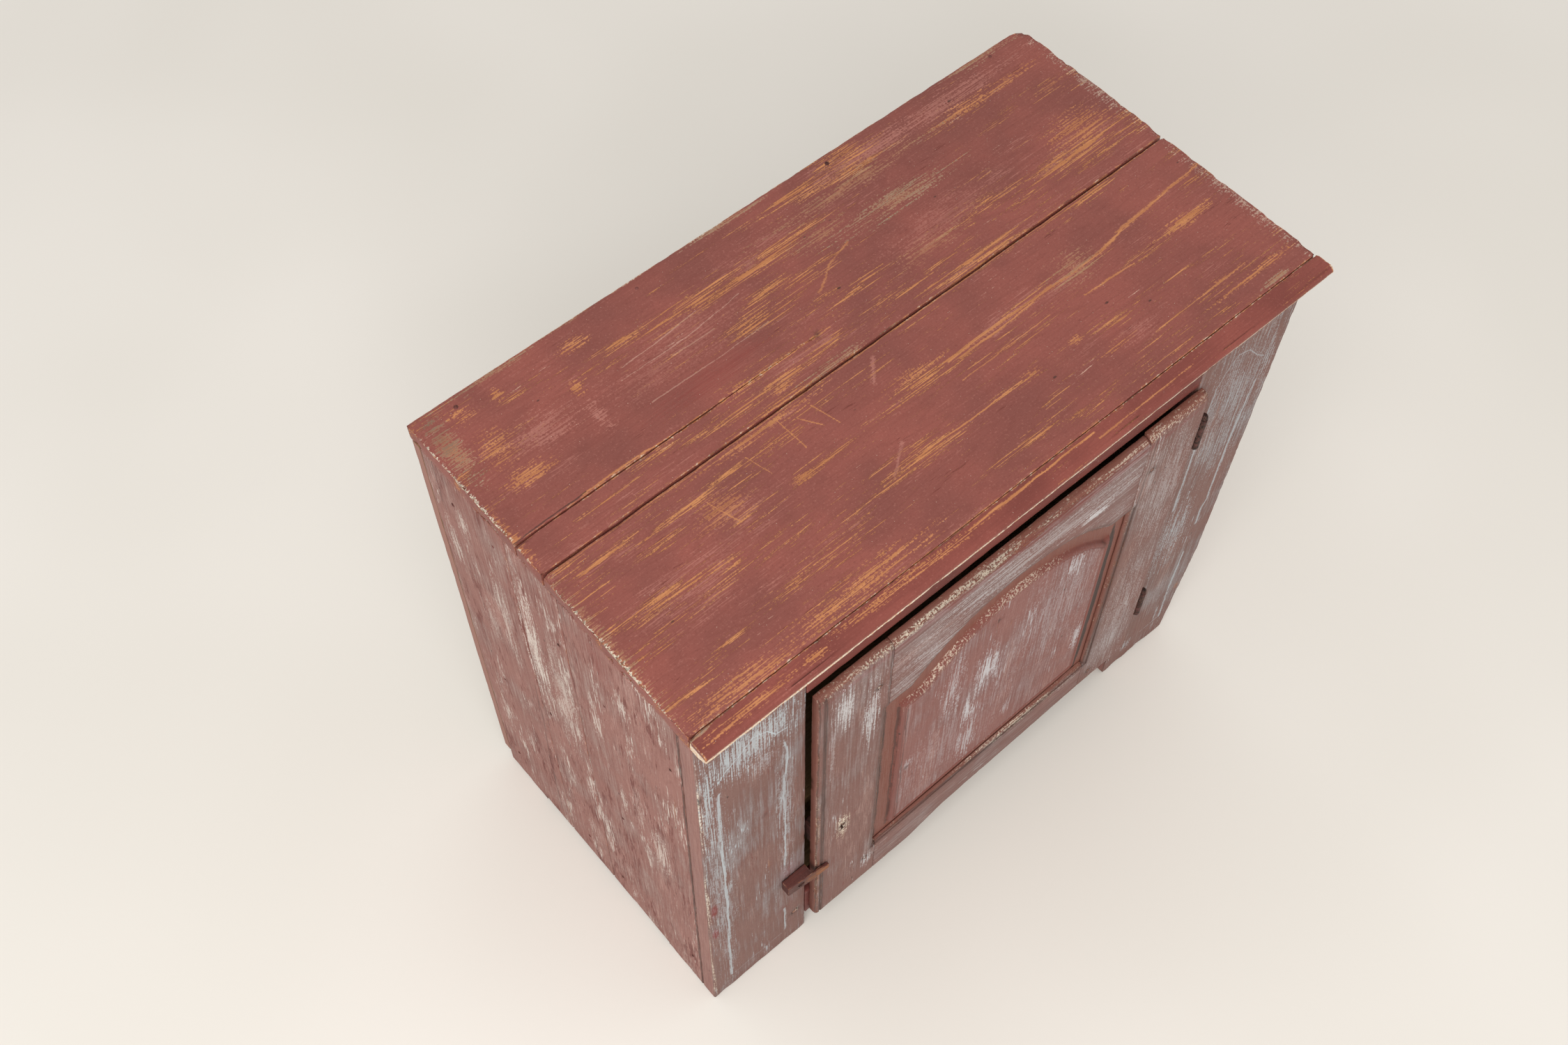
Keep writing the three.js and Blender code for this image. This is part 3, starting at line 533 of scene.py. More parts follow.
@dataclass(frozen=True)
class PaintFinish:
    """Old paint on softwood: its colours, how much has gone, and where."""

    name: str
    grain: Grain
    face: Face
    paint: Colour
    shade: Colour
    bloom: Colour
    wood: Colour = colour(206, 142, 92)
    wood_dark: Colour = colour(168, 104, 64)
    weathered: Colour = colour(152, 132, 114)
    wash: Colour = colour(203, 201, 200)
    flake: Colour = colour(226, 212, 192)
    fresh: Colour = colour(122, 40, 36)
    dent: Colour = colour(112, 54, 46)
    trim: Colour = colour(118, 62, 53)
    # The colour of faces deeper than depth_tone_from; the darker brown of the door and panel is partly painted shade.
    depth_tone: Colour = colour(128, 82, 68)
    inner: Colour = colour(150, 116, 84)
    inner_dark: Colour = colour(112, 80, 56)
    # The dark colour of dirt and of painted shade in creases, grooves and gaps.
    grime: Colour = colour(52, 34, 28)
    depth_tone_from: float = 1000.0
    bare_cover: float = 0.15
    bloom_cover: float = 0.3
    haze: float = 0.3
    wash_cover: float = 0.0
    wash_strength: float = 0.75
    edge_bare: float = 0.35
    edge_flakes: float = 0.35
    roughness: float = 0.55
    fibre_relief: float = 0.35
    seed: float = 0.0
    flakes_on_trim: bool = False
    crack_cover: float = 0.1
    bare_inside: bool = False
    pale_below: float = 0.0
    sway: float = 6.0
    relief: float = 0.85
    relief_depth: float = 0.5
    gloss: float = 0.35
    marks: tuple[Patch | Stroke, ...] = ()

    def _marks_of(self, net: Net, place: Socket, ragged: Socket, facing: Socket, layer: Layer,
                  base: Socket | float) -> Socket | float:
        """The base mask with this layer's patches and lines added.

        Args:
            net: the material's net.
            place: the place on the face in millimetres.
            ragged: noise from 0 to 1 that tears the marks.
            facing: 1 where the surface faces outwards.
            layer: the layer whose marks are wanted.
            base: the mask or number to start from.

        Returns:
            A socket, or the base where the layer has no mark.
        """
        wanted = [mark for mark in self.marks if mark.layer is layer]
        if not wanted:
            return base
        most = 0.0
        for mark in wanted:
            for mask in mark.masks(net, place, ragged):
                most = net.most(net.times(mask, mark.strength), most)
        return net.most(net.times(most, facing), base)

    def material(self) -> bpy.types.Material:
        """The finish as a material. Each call gives the same one.

        Returns:
            The material with wood, paint, wash, flakes, and dirt with painted shade, in that order.
        """
        if self.name in bpy.data.materials:
            return bpy.data.materials[self.name]
        made, net = new_material(self.name)
        coordinates = net.add("ShaderNodeTexCoord")
        place = coordinates.outputs["Object"]
        split = net.add("ShaderNodeSeparateXYZ", {0: place})
        ordered = {index: split.outputs[axis] for index, axis in enumerate(self.grain.value)}
        along = net.shifted(net.add("ShaderNodeCombineXYZ", ordered).outputs[0],
                            (self.seed, self.seed * 0.37, self.seed * 0.71))
        along = net.shifted(along, net.scaled(net.attribute("board", "Vector"), BOARD_SHIFT))
        wear, crease_dirt_and_shade, trim = (net.attribute(name) for name in ("wear", "crease_dirt_and_shade", "trim"))

        measured = net.scaled(net.shifted(place, -spot(0.0, 0.0, 0.0)), (1 / MM, 1 / MM, 1 / MM))
        axes = net.add("ShaderNodeSeparateXYZ", {0: measured})
        first, second = (axes.outputs[axis] for axis in self.face.value[:2])
        bend = net.noise(place, 22.0, 3.0)
        sway = net.times(net.minus(bend, 0.5), self.sway)
        bent = {0: net.plus(first, sway), 1: net.minus(second, sway)}
        flat = net.add("ShaderNodeCombineXYZ", bent)
        turned = net.add("ShaderNodeSeparateXYZ", {0: coordinates.outputs["Normal"]}).outputs[self.face.value[2]]
        turned = net.times(turned, self.face.value[3])
        facing = net.step(turned, 0.2, 0.5)

        grit = net.noise(place, 350.0, 4.0, 0.62)
        grain = net.group(EFFECTS.grain, Vector=along)
        long_thin = BARE_STREAKS.of(net, along, self.bare_cover, grit)
        torn = net.plus(net.times(long_thin.outputs["Raw"], 0.62), net.times(net.step(grit, 0.35, 0.65), 0.38))
        area = (net, flat.outputs[0], torn, facing)
        edge = net.group(EFFECTS.edge, Wear=wear, Vector=along, Amount=self.edge_bare, Ragged=torn)
        bare = self._marks_of(*area, Layer.BARE, long_thin.outputs["Mask"])
        bare = net.most(bare, edge.outputs["Bare"])

        timber = net.mix(net.times(grain.outputs["Rings"], 0.6), self.wood, self.wood_dark)
        timber = net.mix(net.times(grit, 0.5), timber, self.wood_dark)
        old = self._marks_of(*area, Layer.WEATHERED, 0.0)
        timber = net.mix(old, timber, net.mix(torn, self.wood_dark, self.weathered))

        drift = net.noise(along, 9.0, 3.0, 0.55)
        coat = net.mix(net.step(drift, 0.3, 0.72), self.paint, self.shade)
        rubbed = RUBBED_STREAKS.of(net, along, self.bloom_cover, grit)
        bloom = self._marks_of(*area, Layer.BLOOM, net.times(rubbed.outputs["Mask"], 0.6))
        coat = net.mix(bloom, coat, self.bloom)
        coat = net.mix(net.times(grain.outputs["Fibres"], 0.3), coat, self.shade)
        coat = net.mix(net.times(net.step(grit, 0.56, 0.72), 0.35), coat, self.bloom)
        coat = net.mix(net.times(net.step(grit, 0.44, 0.3), 0.45), coat, self.dent)
        coat = net.mix(net.times(net.step(grain.outputs["Rings"], 0.7, 1.0), 0.16), coat, self.dent)
        coat = net.mix(self._marks_of(*area, Layer.FRESH, 0.0), coat, self.fresh)
        cracks = CRACKS.of(net, along, self.crack_cover, grit)
        coat = net.mix(self._marks_of(*area, Layer.DENT, cracks.outputs["Mask"]), coat, self.dent)

        gone = net.most(bare, old)
        shown = net.mix(net.times(gone, 0.92), coat, timber)
        milky = WASH_STREAKS.of(net, along, self.wash_cover, grit)
        mist = net.noise(net.scaled(along, (9.0, 260.0, 260.0)), 1.0, 5.0, 0.66)
        mist = net.plus(mist, net.times(net.minus(drift, 0.5), 0.9))
        soft = net.times(net.step(mist, 0.44, 0.74), self.haze)
        shown = net.mix(net.times(soft, net.plus(torn, 0.3)), shown, self.wash)
        wash = self._marks_of(*area, Layer.WASH, milky.outputs["Mask"])
        shown = net.mix(net.times(wash, self.wash_strength), shown, self.wash)

        # Faces deeper than depth_tone_from take the depth tone: on the door and its panel a darker brown, partly less
        # worn paint and partly painted shade in the sunk margin and mouldings; the front frame has a colour of its
        # own here.
        depth_share = net.step(axes.outputs["Y"], self.depth_tone_from, self.depth_tone_from + 2.0)
        depth_colour = net.mix(net.times(torn, 0.7), self.depth_tone, self.dent)
        shown = net.mix(net.times(depth_share, 0.85), shown, depth_colour)
        shown = net.mix(net.times(trim, 0.8), shown, self.trim)

        if self.pale_below:
            lip = net.step(axes.outputs["Z"], self.pale_below, self.pale_below - 2.5)
            lip = net.times(lip, net.step(net.noise(along, 60.0, 4.0, 0.7), 0.3, 0.4))
            shown = net.mix(lip, shown, net.mix(net.step(grit, 0.38, 0.52), self.wood, self.flake))
        if self.bare_inside:
            inside = net.times(net.step(net.times(turned, -1.0), 0.6, 0.9), 0.85)
            shown = net.mix(inside, shown, net.mix(grain.outputs["Fibres"], self.inner, self.inner_dark))
        chips = net.math("MULTIPLY", edge.outputs["Chips"], self.edge_flakes, clamp=True)
        flaked = self._marks_of(*area, Layer.FLAKES, 0.0)
        flaked = net.times(flaked, net.step(net.noise(place, 330.0, 4.0, 0.62), 0.45, 0.52))
        if self.flakes_on_trim:
            flaked = net.times(flaked, trim)
        specks = net.group(EFFECTS.pits, Vector=along, Rate=330.0, Share=0.035)
        flakes = net.most(chips, flaked)
        flakes = net.most(flakes, net.times(specks.outputs["Light"], 0.6))
        shown = net.mix(flakes, shown, self.flake)

        # Painted shade: the dark marks in grooves and gaps and the darkening near inner edges, mixed with real dirt,
        # dents and worm holes.
        grime = self._marks_of(*area, Layer.GRIME, 0.0)
        dents = net.group(EFFECTS.pits, Vector=net.scaled(along, (0.5, 1.0, 1.0)), Rate=95.0, Share=0.025)
        dark = net.most(net.times(grime, 0.8), net.times(crease_dirt_and_shade, 0.8))
        dark = net.most(dark, net.times(dents.outputs["Mask"], 0.7))
        dark = net.most(dark, net.times(specks.outputs["Mask"], 0.45))
        shown = net.mix(dark, shown, self.grime)

        height = net.times(grain.outputs["Fibres"], -self.fibre_relief)
        height = net.minus(height, net.times(long_thin.outputs["Mask"], 0.5))
        height = net.plus(height, net.times(chips, 0.5))
        height = net.plus(height, net.times(net.noise(along, 55.0, 4.0), 0.8))
        height = net.minus(height, net.times(dents.outputs["Mask"], 1.6))
        bump = net.bump(height, self.relief, self.relief_depth)
        matt = net.plus(net.times(net.most(gone, wash), 0.22), self.roughness)
        matt = net.plus(matt, net.times(grain.outputs["Fibres"], 0.08))
        net.surface({"Base Color": shown, "Roughness": matt, "Normal": bump, "Specular IOR Level": self.gloss})
        return made


@dataclass(frozen=True)
class BareWood:
    """Unpainted old softwood, for the inside and the back."""

    name: str
    grain: Grain
    light: Colour = colour(164, 130, 92)
    dark: Colour = colour(112, 82, 55)
    dust: Colour = colour(140, 124, 104)
    end_paint: Colour | None = None
    hole: Colour = colour(40, 28, 20)
    relief: float = 0.5
    relief_depth: float = 0.4
    gloss: float = 0.3

    def material(self) -> bpy.types.Material:
        """The finish as a material. Each call gives the same one.

        Returns:
            The material.
        """
        if self.name in bpy.data.materials:
            return bpy.data.materials[self.name]
        made, net = new_material(self.name)
        coordinates = net.add("ShaderNodeTexCoord")
        split = net.add("ShaderNodeSeparateXYZ", {0: coordinates.outputs["Object"]})
        ordered = {index: split.outputs[axis] for index, axis in enumerate(self.grain.value)}
        along = net.shifted(net.add("ShaderNodeCombineXYZ", ordered).outputs[0],
                            net.scaled(net.attribute("board", "Vector"), BOARD_SHIFT))
        grain = net.group(EFFECTS.grain, Vector=along)
        timber = net.mix(net.times(grain.outputs["Rings"], 0.35), self.light, self.dark)
        timber = net.mix(net.times(grain.outputs["Fibres"], 0.5), timber, self.dark)
        timber = net.mix(net.step(net.noise(along, 7.0, 4.0), 0.4, 0.75), timber, self.dust)
        pits = net.group(EFFECTS.pits, Vector=along, Rate=120.0, Share=0.04)
        timber = net.mix(pits.outputs["Mask"], timber, self.hole)
        if self.end_paint:
            turned = net.add("ShaderNodeSeparateXYZ", {0: coordinates.outputs["Normal"]}).outputs["X"]
            ends = net.step(net.math("ABSOLUTE", turned), 0.5, 0.8)
            timber = net.mix(net.times(ends, 0.85), timber, self.end_paint)
        height = net.minus(0.0, net.plus(grain.outputs["Fibres"], pits.outputs["Mask"]))
        bump = net.bump(height, self.relief, self.relief_depth)
        matt = net.plus(0.72, net.times(grain.outputs["Fibres"], 0.12))
        net.surface({"Base Color": timber, "Roughness": matt, "Normal": bump, "Specular IOR Level": self.gloss})
        return made


@dataclass(frozen=True)
class OldIron:
    """Dark forged iron with rust and remains of paint."""

    name: str
    metal: Colour = colour(62, 52, 48)
    rust: Colour = colour(104, 62, 42)
    paint: Colour = colour(96, 58, 52)
    paint_cover: float = 0.35
    relief: float = 0.6
    relief_depth: float = 0.4

    def material(self) -> bpy.types.Material:
        """The finish as a material. Each call gives the same one.

        Returns:
            The material.
        """
        if self.name in bpy.data.materials:
            return bpy.data.materials[self.name]
        made, net = new_material(self.name)
        place = net.add("ShaderNodeTexCoord").outputs["Object"]
        crust = net.noise(place, 240.0, 6.0, 0.65)
        blotch = net.noise(place, 70.0, 4.0, 0.6)
        rusty = net.step(net.plus(crust, net.times(blotch, 0.5)), 0.68, 0.86)
        tone = net.mix(rusty, self.metal, self.rust)
        painted = net.step(net.minus(1.0, blotch), 0.62 - self.paint_cover * 0.3, 0.64)
        tone = net.mix(painted, tone, self.paint)
        bump = net.bump(crust, self.relief, self.relief_depth)
        bare = net.minus(1.0, net.most(rusty, painted))
        matt = net.plus(0.5, net.times(crust, 0.4))
        metallic = net.times(bare, 0.8)
        net.surface({"Base Color": tone, "Roughness": matt, "Metallic": metallic, "Normal": bump})
        return made


DENT_WIDE, DENT_TALL = 8, 11

TOP_BACK_MARKS = (
    *patches(
        Layer.WEATHERED,
        (10, 330, 549, 560, 0.8, 1.4), (5, 40, 430, 548, 0.9, 1.6), (50, 200, 543, 556, 0.9, 2.2),
        (420, 555, 542, 556, 0.9, 2.2), (840, 985, 538, 556, 0.9, 2.2), (563, 763, 418, 452, 0.9, 2.4),
        (500, 777, 482, 505, 0.6, 2.4), (510, 600, 440, 468, 0.6, 2.4), (600, 690, 335, 365, 0.45, 2.6),
        (390, 480, 288, 302, 0.8, 2.4),
    ),
    *patches(
        Layer.BARE,
        (-6, 12, 300, 400, 0.8, 2.0), (38, 76, 508, 532, 1.0, 2.2), (98, 115, 508, 537, 1.0, 2.2),
        (198, 239, 511, 529, 1.0, 2.2), (35, 85, 430, 485, 0.9, 2.4), (42, 102, 392, 420, 0.9, 2.2),
        (175, 193, 455, 480, 1.0, 2.2), (883, 975, 332, 395, 0.85, 2.5), (810, 925, 330, 356, 0.8, 2.4),
        (760, 960, 485, 502, 0.9, 2.4), (285, 368, 332, 348, 1.0, 2.2), (345, 395, 303, 314, 1.0, 2.2),
        (920, 990, 440, 455, 0.5, 2.4),
    ),
    *strokes(
        Layer.BARE,
        (((100, 344), (290, 341), (470, 339)), 1.6, 0.9),
        (((495, 386), (515, 397), (532, 412), (575, 423)), 2.2, 0.6),
    ),
    *patches(
        Layer.BLOOM,
        (65, 165, 418, 470, 0.6, 2.2), (170, 193, 390, 443, 0.7, 2.0), (520, 1000, 500, 534, 0.65, 2.0),
        (590, 780, 350, 400, 0.35, 2.2), (200, 440, 395, 475, 0.3, 2.4),
    ),
    *patches(Layer.FRESH, (230, 420, 355, 400, 0.3, 2.2)),
    *strokes(
        Layer.WASH,
        (((243, 455), (300, 458), (363, 464)), 0.9, 0.5), (((230, 440), (330, 441), (420, 449)), 0.9, 0.5),
        (((300, 430), (363, 428)), 0.9, 0.4), (((240, 392), (340, 391), (420, 393)), 0.9, 0.45),
    ),
    *patches(
        Layer.FLAKES,
        (-6, 5, 290, 556, 1.0, 0.9), (20, 980, 551, 560, 0.6, 1.4), (984, 1006, 300, 540, 0.35, 2.3),
    ),
    *patches(Layer.GRIME, (-6, 4, 300, 545, 0.6, 1.6), (8, 34, 470, 545, 0.35, 2.4)),
    *strokes(
        Layer.GRIME,
        (((0, 343), (60, 344), (105, 345)), 1.3, 0.9), (((0, 288.5), (500, 289), (992, 290)), 1.6, 0.8),
    ),
)
TOP_FRONT_MARKS = (
    *patches(
        Layer.WEATHERED,
        (723, 790, 188, 235, 0.6, 2.6), (907, 962, 32, 42, 1.0, 1.2), (-5, 50, 22, 32, 1.0, 1.0),
        (-4, 14, 60, 290, 0.6, 2.4),
    ),
    *patches(
        Layer.BARE,
        (-6, 10, 40, 270, 0.7, 2.0), (215, 395, 270, 287, 0.9, 2.6), (170, 240, 205, 252, 0.6, 2.6),
        (285, 330, 190, 205, 1.0, 2.0), (455, 540, 212, 230, 0.9, 2.5), (858, 968, 164, 184, 1.0, 2.0),
        (5, 175, 28, 56, 0.85, 2.5), (150, 360, 34, 66, 1.0, 2.3), (845, 1003, 55, 64, 1.0, 2.2),
        (820, 940, 75, 82, 0.9, 2.2), (680, 740, 89, 97, 0.9, 2.2), (590, 622, 124, 137, 0.9, 2.0),
        (668, 694, 124, 137, 0.9, 2.0),
    ),
    *strokes(
        Layer.BARE,
        (((397, 132), (497, 131), (590, 130)), 1.4),
        (((543, 208), (640, 211), (720, 206), (800, 206), (850, 215), (1000, 227)), 3.0, 0.9),
        (((557, 202), (640, 204), (717, 209)), 2.0, 0.9), (((537, 177), (683, 178)), 1.2, 0.8),
        (((737, 172), (817, 168)), 1.6, 0.9), (((200, 243), (208, 212), (213, 198)), 1.4, 0.8),
        (((353, 263), (370, 237)), 1.1, 0.8), (((377, 267), (387, 227)), 1.1, 0.8),
        (((333, 277), (334, 227)), 1.1, 0.8), (((272, 262), (281, 226)), 1.0, 0.7),
        (((10, 284), (420, 285), (990, 286)), 0.9, 0.7),
    ),
    *patches(Layer.BLOOM, (140, 185, 155, 190, 0.35, 1.8), (720, 775, 70, 115, 0.4, 2.6)),
    *strokes(
        Layer.BLOOM,
        (((455, 243), (470, 262), (478, 270)), 3.5, 0.7), (((383, 127), (402, 143), (423, 160)), 3.0, 0.6),
    ),
    *patches(Layer.FLAKES, (-6, 5, 30, 287, 1.0, 0.9), (984, 1006, 30, 286, 0.35, 2.3)),
    *patches(Layer.GRIME, (-6, 4, 34, 280, 0.6, 1.6)),
)
TOP_BACK_PAINT = PaintFinish(
    "top_back_paint", Grain.SIDEWAYS, Face.TOP, colour(146, 80, 70), colour(126, 70, 62), colour(180, 120, 108),
    wash=colour(206, 168, 150), bare_cover=0.27, haze=0.0, edge_bare=0.72, edge_flakes=0.9,
    roughness=0.5, marks=TOP_BACK_MARKS,
)
TOP_FRONT_PAINT = replace(TOP_BACK_PAINT, name="top_front_paint", marks=TOP_FRONT_MARKS)
NOSING_MARKS = (
    *patches(Layer.WEATHERED, (-5, 30, 24, 31, 1.0, 1.0)),
    *patches(Layer.BARE, (0, 148, 10, 22, 0.9, 2.4), (148, 184, 10, 22, 1.0, 1.8), (195, 420, 15, 27, 1.0, 2.2)),
    *strokes(Layer.BARE, (((400, 22), (500, 23), (600, 24)), 2.0), (((600, 14), (760, 15)), 1.4, 0.8)),
    *strokes(Layer.GRIME, (((0, 29), (60, 29.5), (400, 30), (998, 30)), 1.0, 0.7)),
)
NOSING_PAINT = PaintFinish(
    "nosing_paint", Grain.SIDEWAYS, Face.TOP, colour(142, 74, 64), colour(118, 58, 50), colour(172, 108, 96),
    bare_cover=0.22, bloom_cover=0.2, haze=0.0, edge_bare=0.85, edge_flakes=0.9, roughness=0.5, seed=0.6,
    pale_below=907.0, marks=NOSING_MARKS,
)
LEFT_SIDE_MARKS = (
    *patches(Layer.BARE, (20, 30, 200, 885, 0.5, 2.0)),
    *patches(Layer.FRESH, (174, 226, 800, 890, 0.45, 2.2), (22, 34, 335, 400, 0.9, 1.4)),
    *patches(
        Layer.WASH,
        (332, 374, 480, 800, 1.2, 2.2), (276, 322, 441, 730, 0.75, 2.6), (272, 290, 480, 545, 0.9, 2.0),
        (399, 432, 525, 740, 0.7, 2.6), (458, 484, 765, 828, 0.8, 2.2), (495, 520, 655, 765, 0.8, 2.2),
        (440, 480, 530, 620, 0.5, 2.4), (186, 200, 408, 498, 0.8, 2.0), (99, 137, 335, 470, 0.9, 2.2),
        (144, 172, 762, 798, 0.9, 2.0), (74, 92, 796, 828, 0.9, 2.0), (430, 450, 165, 260, 0.6, 2.4),
        (290, 312, 110, 185, 0.6, 2.4), (140, 170, 420, 560, 0.5, 2.8),
    ),
    *patches(Layer.FLAKES, (20, 32, 0, 885, 0.8, 1.2)),
    *strokes(
        Layer.GRIME,
        (((52, 889), (52, 2)), 2.2, 0.9), (((380, 500), (381, 400), (391, 250), (396, 40)), 1.3, 0.6),
        (((254, 890), (253, 760)), 1.0, 0.5), (((510, 890), (511, 800)), 1.4, 0.6),
        (((302, 150), (306, 0)), 1.0, 0.4),
    ),
    *(Patch(Layer.DENT, (y - DENT_WIDE, y + DENT_WIDE), (z - DENT_TALL, z + DENT_TALL), 0.75, 1.8) for y, z in (
        (482, 825), (399, 838), (455, 741), (282, 756), (258, 735), (202, 724), (408, 641), (352, 456), (379, 600),
        (467, 376), (426, 388), (205, 365), (535, 321), (541, 288), (473, 288), (255, 218), (252, 100), (241, 71),
        (544, 188), (320, 56), (188, 12), (529, 59),
    )),
)
LEFT_SIDE_PAINT = PaintFinish(
    "left_side_paint", Grain.UPRIGHT, Face.LEFT, colour(154, 107, 98), colour(128, 80, 72), colour(186, 146, 136),
    wood=colour(176, 128, 98), wash=colour(222, 212, 203), bare_cover=0.0, bloom_cover=0.42, haze=0.22,
    wash_cover=0.3, wash_strength=0.72, edge_bare=0.45, edge_flakes=0.5, roughness=0.6, seed=3.1, fibre_relief=0.5,
    crack_cover=0.36, bare_inside=True, marks=LEFT_SIDE_MARKS,
)
RIGHT_SIDE_PAINT = replace(LEFT_SIDE_PAINT, name="right_side_paint", face=Face.RIGHT, seed=8.6, marks=())
FRONT_MARKS = (
    *patches(Layer.BARE, (942, 956, 118, 150, 0.8, 1.8)),
    *patches(Layer.FRESH, (-8, 8, 340, 400, 1.0, 0.8), (-9, 5, 254, 302, 1.0, 0.8), (108, 154, 255, 330, 0.7, 1.8)),
    *patches(Layer.DENT, (82, 106, 535, 590, 0.55, 2.2), (800, 985, 0, 30, 0.4, 2.0), (-30, 160, 0, 24, 0.35, 2.0)),
    *patches(
        Layer.WASH,
        (-6, 34, 60, 880, 0.5, 2.6), (112, 140, 330, 800, 0.5, 2.6), (-5, 162, 735, 870, 0.85, 2.2),
        (-4, 22, 560, 880, 0.85, 2.2), (20, 38, 385, 435, 0.7, 2.2), (70, 110, 690, 770, 0.45, 2.6),
        (836, 862, 32, 64, 0.6, 2.2), (835, 985, 520, 870, 0.45, 2.9), (838, 905, 280, 480, 0.7, 2.6),
    ),
    *strokes(
        Layer.WASH,
        (((27, 767), (40, 782), (57, 792), (80, 813), (100, 802), (113, 775), (127, 770)), 1.8, 1.1),
        (((27, 733), (25, 680), (22, 527), (23, 473), (22, 320), (20, 260), (18, 167), (18, 50)), 3.4, 0.85),
        (((127, 733), (130, 680), (125, 633), (123, 567), (125, 473), (122, 327)), 3.0, 0.8),
        (((120, 147), (120, 53)), 2.6, 0.75), (((23, 46), (113, 46)), 1.1, 0.45),
        (((853, 767), (866, 795), (880, 817), (905, 806), (930, 773), (947, 757)), 1.5, 0.6),
        (((853, 767), (853, 710)), 2.0, 0.7), (((853, 627), (853, 467)), 3.2, 0.75),
        (((853, 400), (852, 330)), 1.6, 0.5),
        (((950, 700), (943, 633), (940, 570), (940, 407), (933, 390), (933, 345)), 3.0, 0.75),
        (((930, 260), (928, 207), (927, 113), (927, 53)), 3.0, 0.75), (((883, 53), (923, 53)), 1.2, 0.6),
    ),
    *patches(
        Layer.FLAKES,
        (-20, -10, 0, 300, 0.7, 1.4), (-14, -4, 300, 600, 0.7, 1.4), (-8, 2, 600, 885, 0.7, 1.4),
        (140, 150, 92, 108, 0.7, 1.6),
    ),
    # The long faint strip at x 140 to 160 is painted shadow from the door's edge; the two small patches are dark
    # spots.
    *patches(Layer.GRIME, (87, 99, 553, 567, 0.45, 1.6), (-5, 6, 742, 772, 0.9, 1.6), (140, 160, 60, 760, 0.22, 2.0)),
)
FRONT_PAINT = PaintFinish(
    "front_paint", Grain.UPRIGHT, Face.FRONT, colour(126, 90, 82), colour(110, 75, 67), colour(160, 128, 119),
    wood=colour(158, 112, 82), wash=colour(196, 208, 214), depth_tone=colour(160, 116, 107), depth_tone_from=24.0,
    bare_cover=0.0, bloom_cover=0.36, haze=0.28, wash_cover=0.14, edge_flakes=0.5, seed=7.7, fibre_relief=0.45,
    bare_inside=True, marks=FRONT_MARKS,
)
RAIL_PAINT = PaintFinish(
    "rail_paint", Grain.SIDEWAYS, Face.FRONT, colour(122, 52, 44), colour(92, 38, 33), colour(140, 84, 74),
    wood=colour(150, 100, 70), bare_cover=0.02, bloom_cover=0.05, haze=0.0, edge_bare=0.2, seed=1.9,
)
DOOR_MARKS = (
    *patches(Layer.BARE, (200, 226, 300, 404, 0.6, 2.0), (160, 640, 793, 812, 0.8, 1.6)),
    *patches(Layer.FRESH, (60, 940, 782, 798, 0.45, 0.6)),
    *patches(Layer.DENT, (100, 900, 786, 850, 0.9, 0.4), (225, 245, 362, 376, 0.5, 1.6)),
    *patches(
        Layer.WASH,
        (180, 195, 520, 770, 0.4, 2.8), (190, 224, 680, 792, 1.1, 2.2), (238, 264, 560, 756, 1.0, 2.2),
        (252, 276, 100, 155, 1.1, 2.0), (290, 745, 722, 780, 0.6, 2.8), (596, 660, 711, 734, 1.2, 1.6),
        (285, 430, 640, 740, 0.55, 2.9), (640, 720, 650, 690, 0.4, 2.8), (725, 745, 600, 770, 0.5, 2.8),
        (725, 812, 90, 460, 0.5, 2.7), (740, 812, 470, 790, 0.5, 2.7),
    ),
    *patches(
        Layer.FLAKES,
        (200, 226, 300, 404, 0.95, 1.2), (160, 560, 794, 812, 0.95, 1.5), (540, 820, 799, 812, 0.6, 2.2),
        (158, 170, 80, 800, 0.5, 2.0), (278, 292, 165, 620, 0.35, 2.2), (430, 705, 168, 184, 0.8, 2.0),
    ),
    *patches(Layer.GRIME, (206, 219, 345, 362, 0.55, 1.6), (160, 640, 794, 812, 0.5, 2.0)),
    # Painted shade: dark lines along the edges of the panel's opening and in the door's left edge moulding.
    *strokes(
        Layer.GRIME,
        (((279, 172), (278, 800)), 1.5, 0.6), (((712, 172), (721, 800)), 1.6, 0.7),
        (((281, 166), (705, 176)), 1.6, 0.7), (((178, 60), (177, 800)), 1.8, 0.9),
        (((168, 70), (168, 808)), 1.2, 0.7),
    ),
)
DOOR_STILE_PAINT = PaintFinish(
    "door_stile_paint", Grain.UPRIGHT, Face.FRONT, colour(127, 88, 80), colour(110, 72, 64), colour(166, 134, 125),
    wood=colour(148, 92, 66), wood_dark=colour(104, 62, 44), wash=colour(204, 202, 203), depth_tone_from=8.5,
    bare_cover=0.02, bloom_cover=0.4, haze=0.24, wash_cover=0.14, edge_bare=0.42, edge_flakes=0.4,
    roughness=0.52, seed=5.3, bare_inside=True, marks=DOOR_MARKS,
)
DOOR_RAIL_PAINT = replace(
    DOOR_STILE_PAINT, name="door_rail_paint", grain=Grain.SIDEWAYS, paint=colour(128, 88, 81),
    shade=colour(110, 72, 65), bloom=colour(172, 140, 132), wash=colour(208, 206, 207), bloom_cover=0.42, haze=0.28,
    wash_cover=0.18, edge_flakes=0.45, seed=9.2,
)
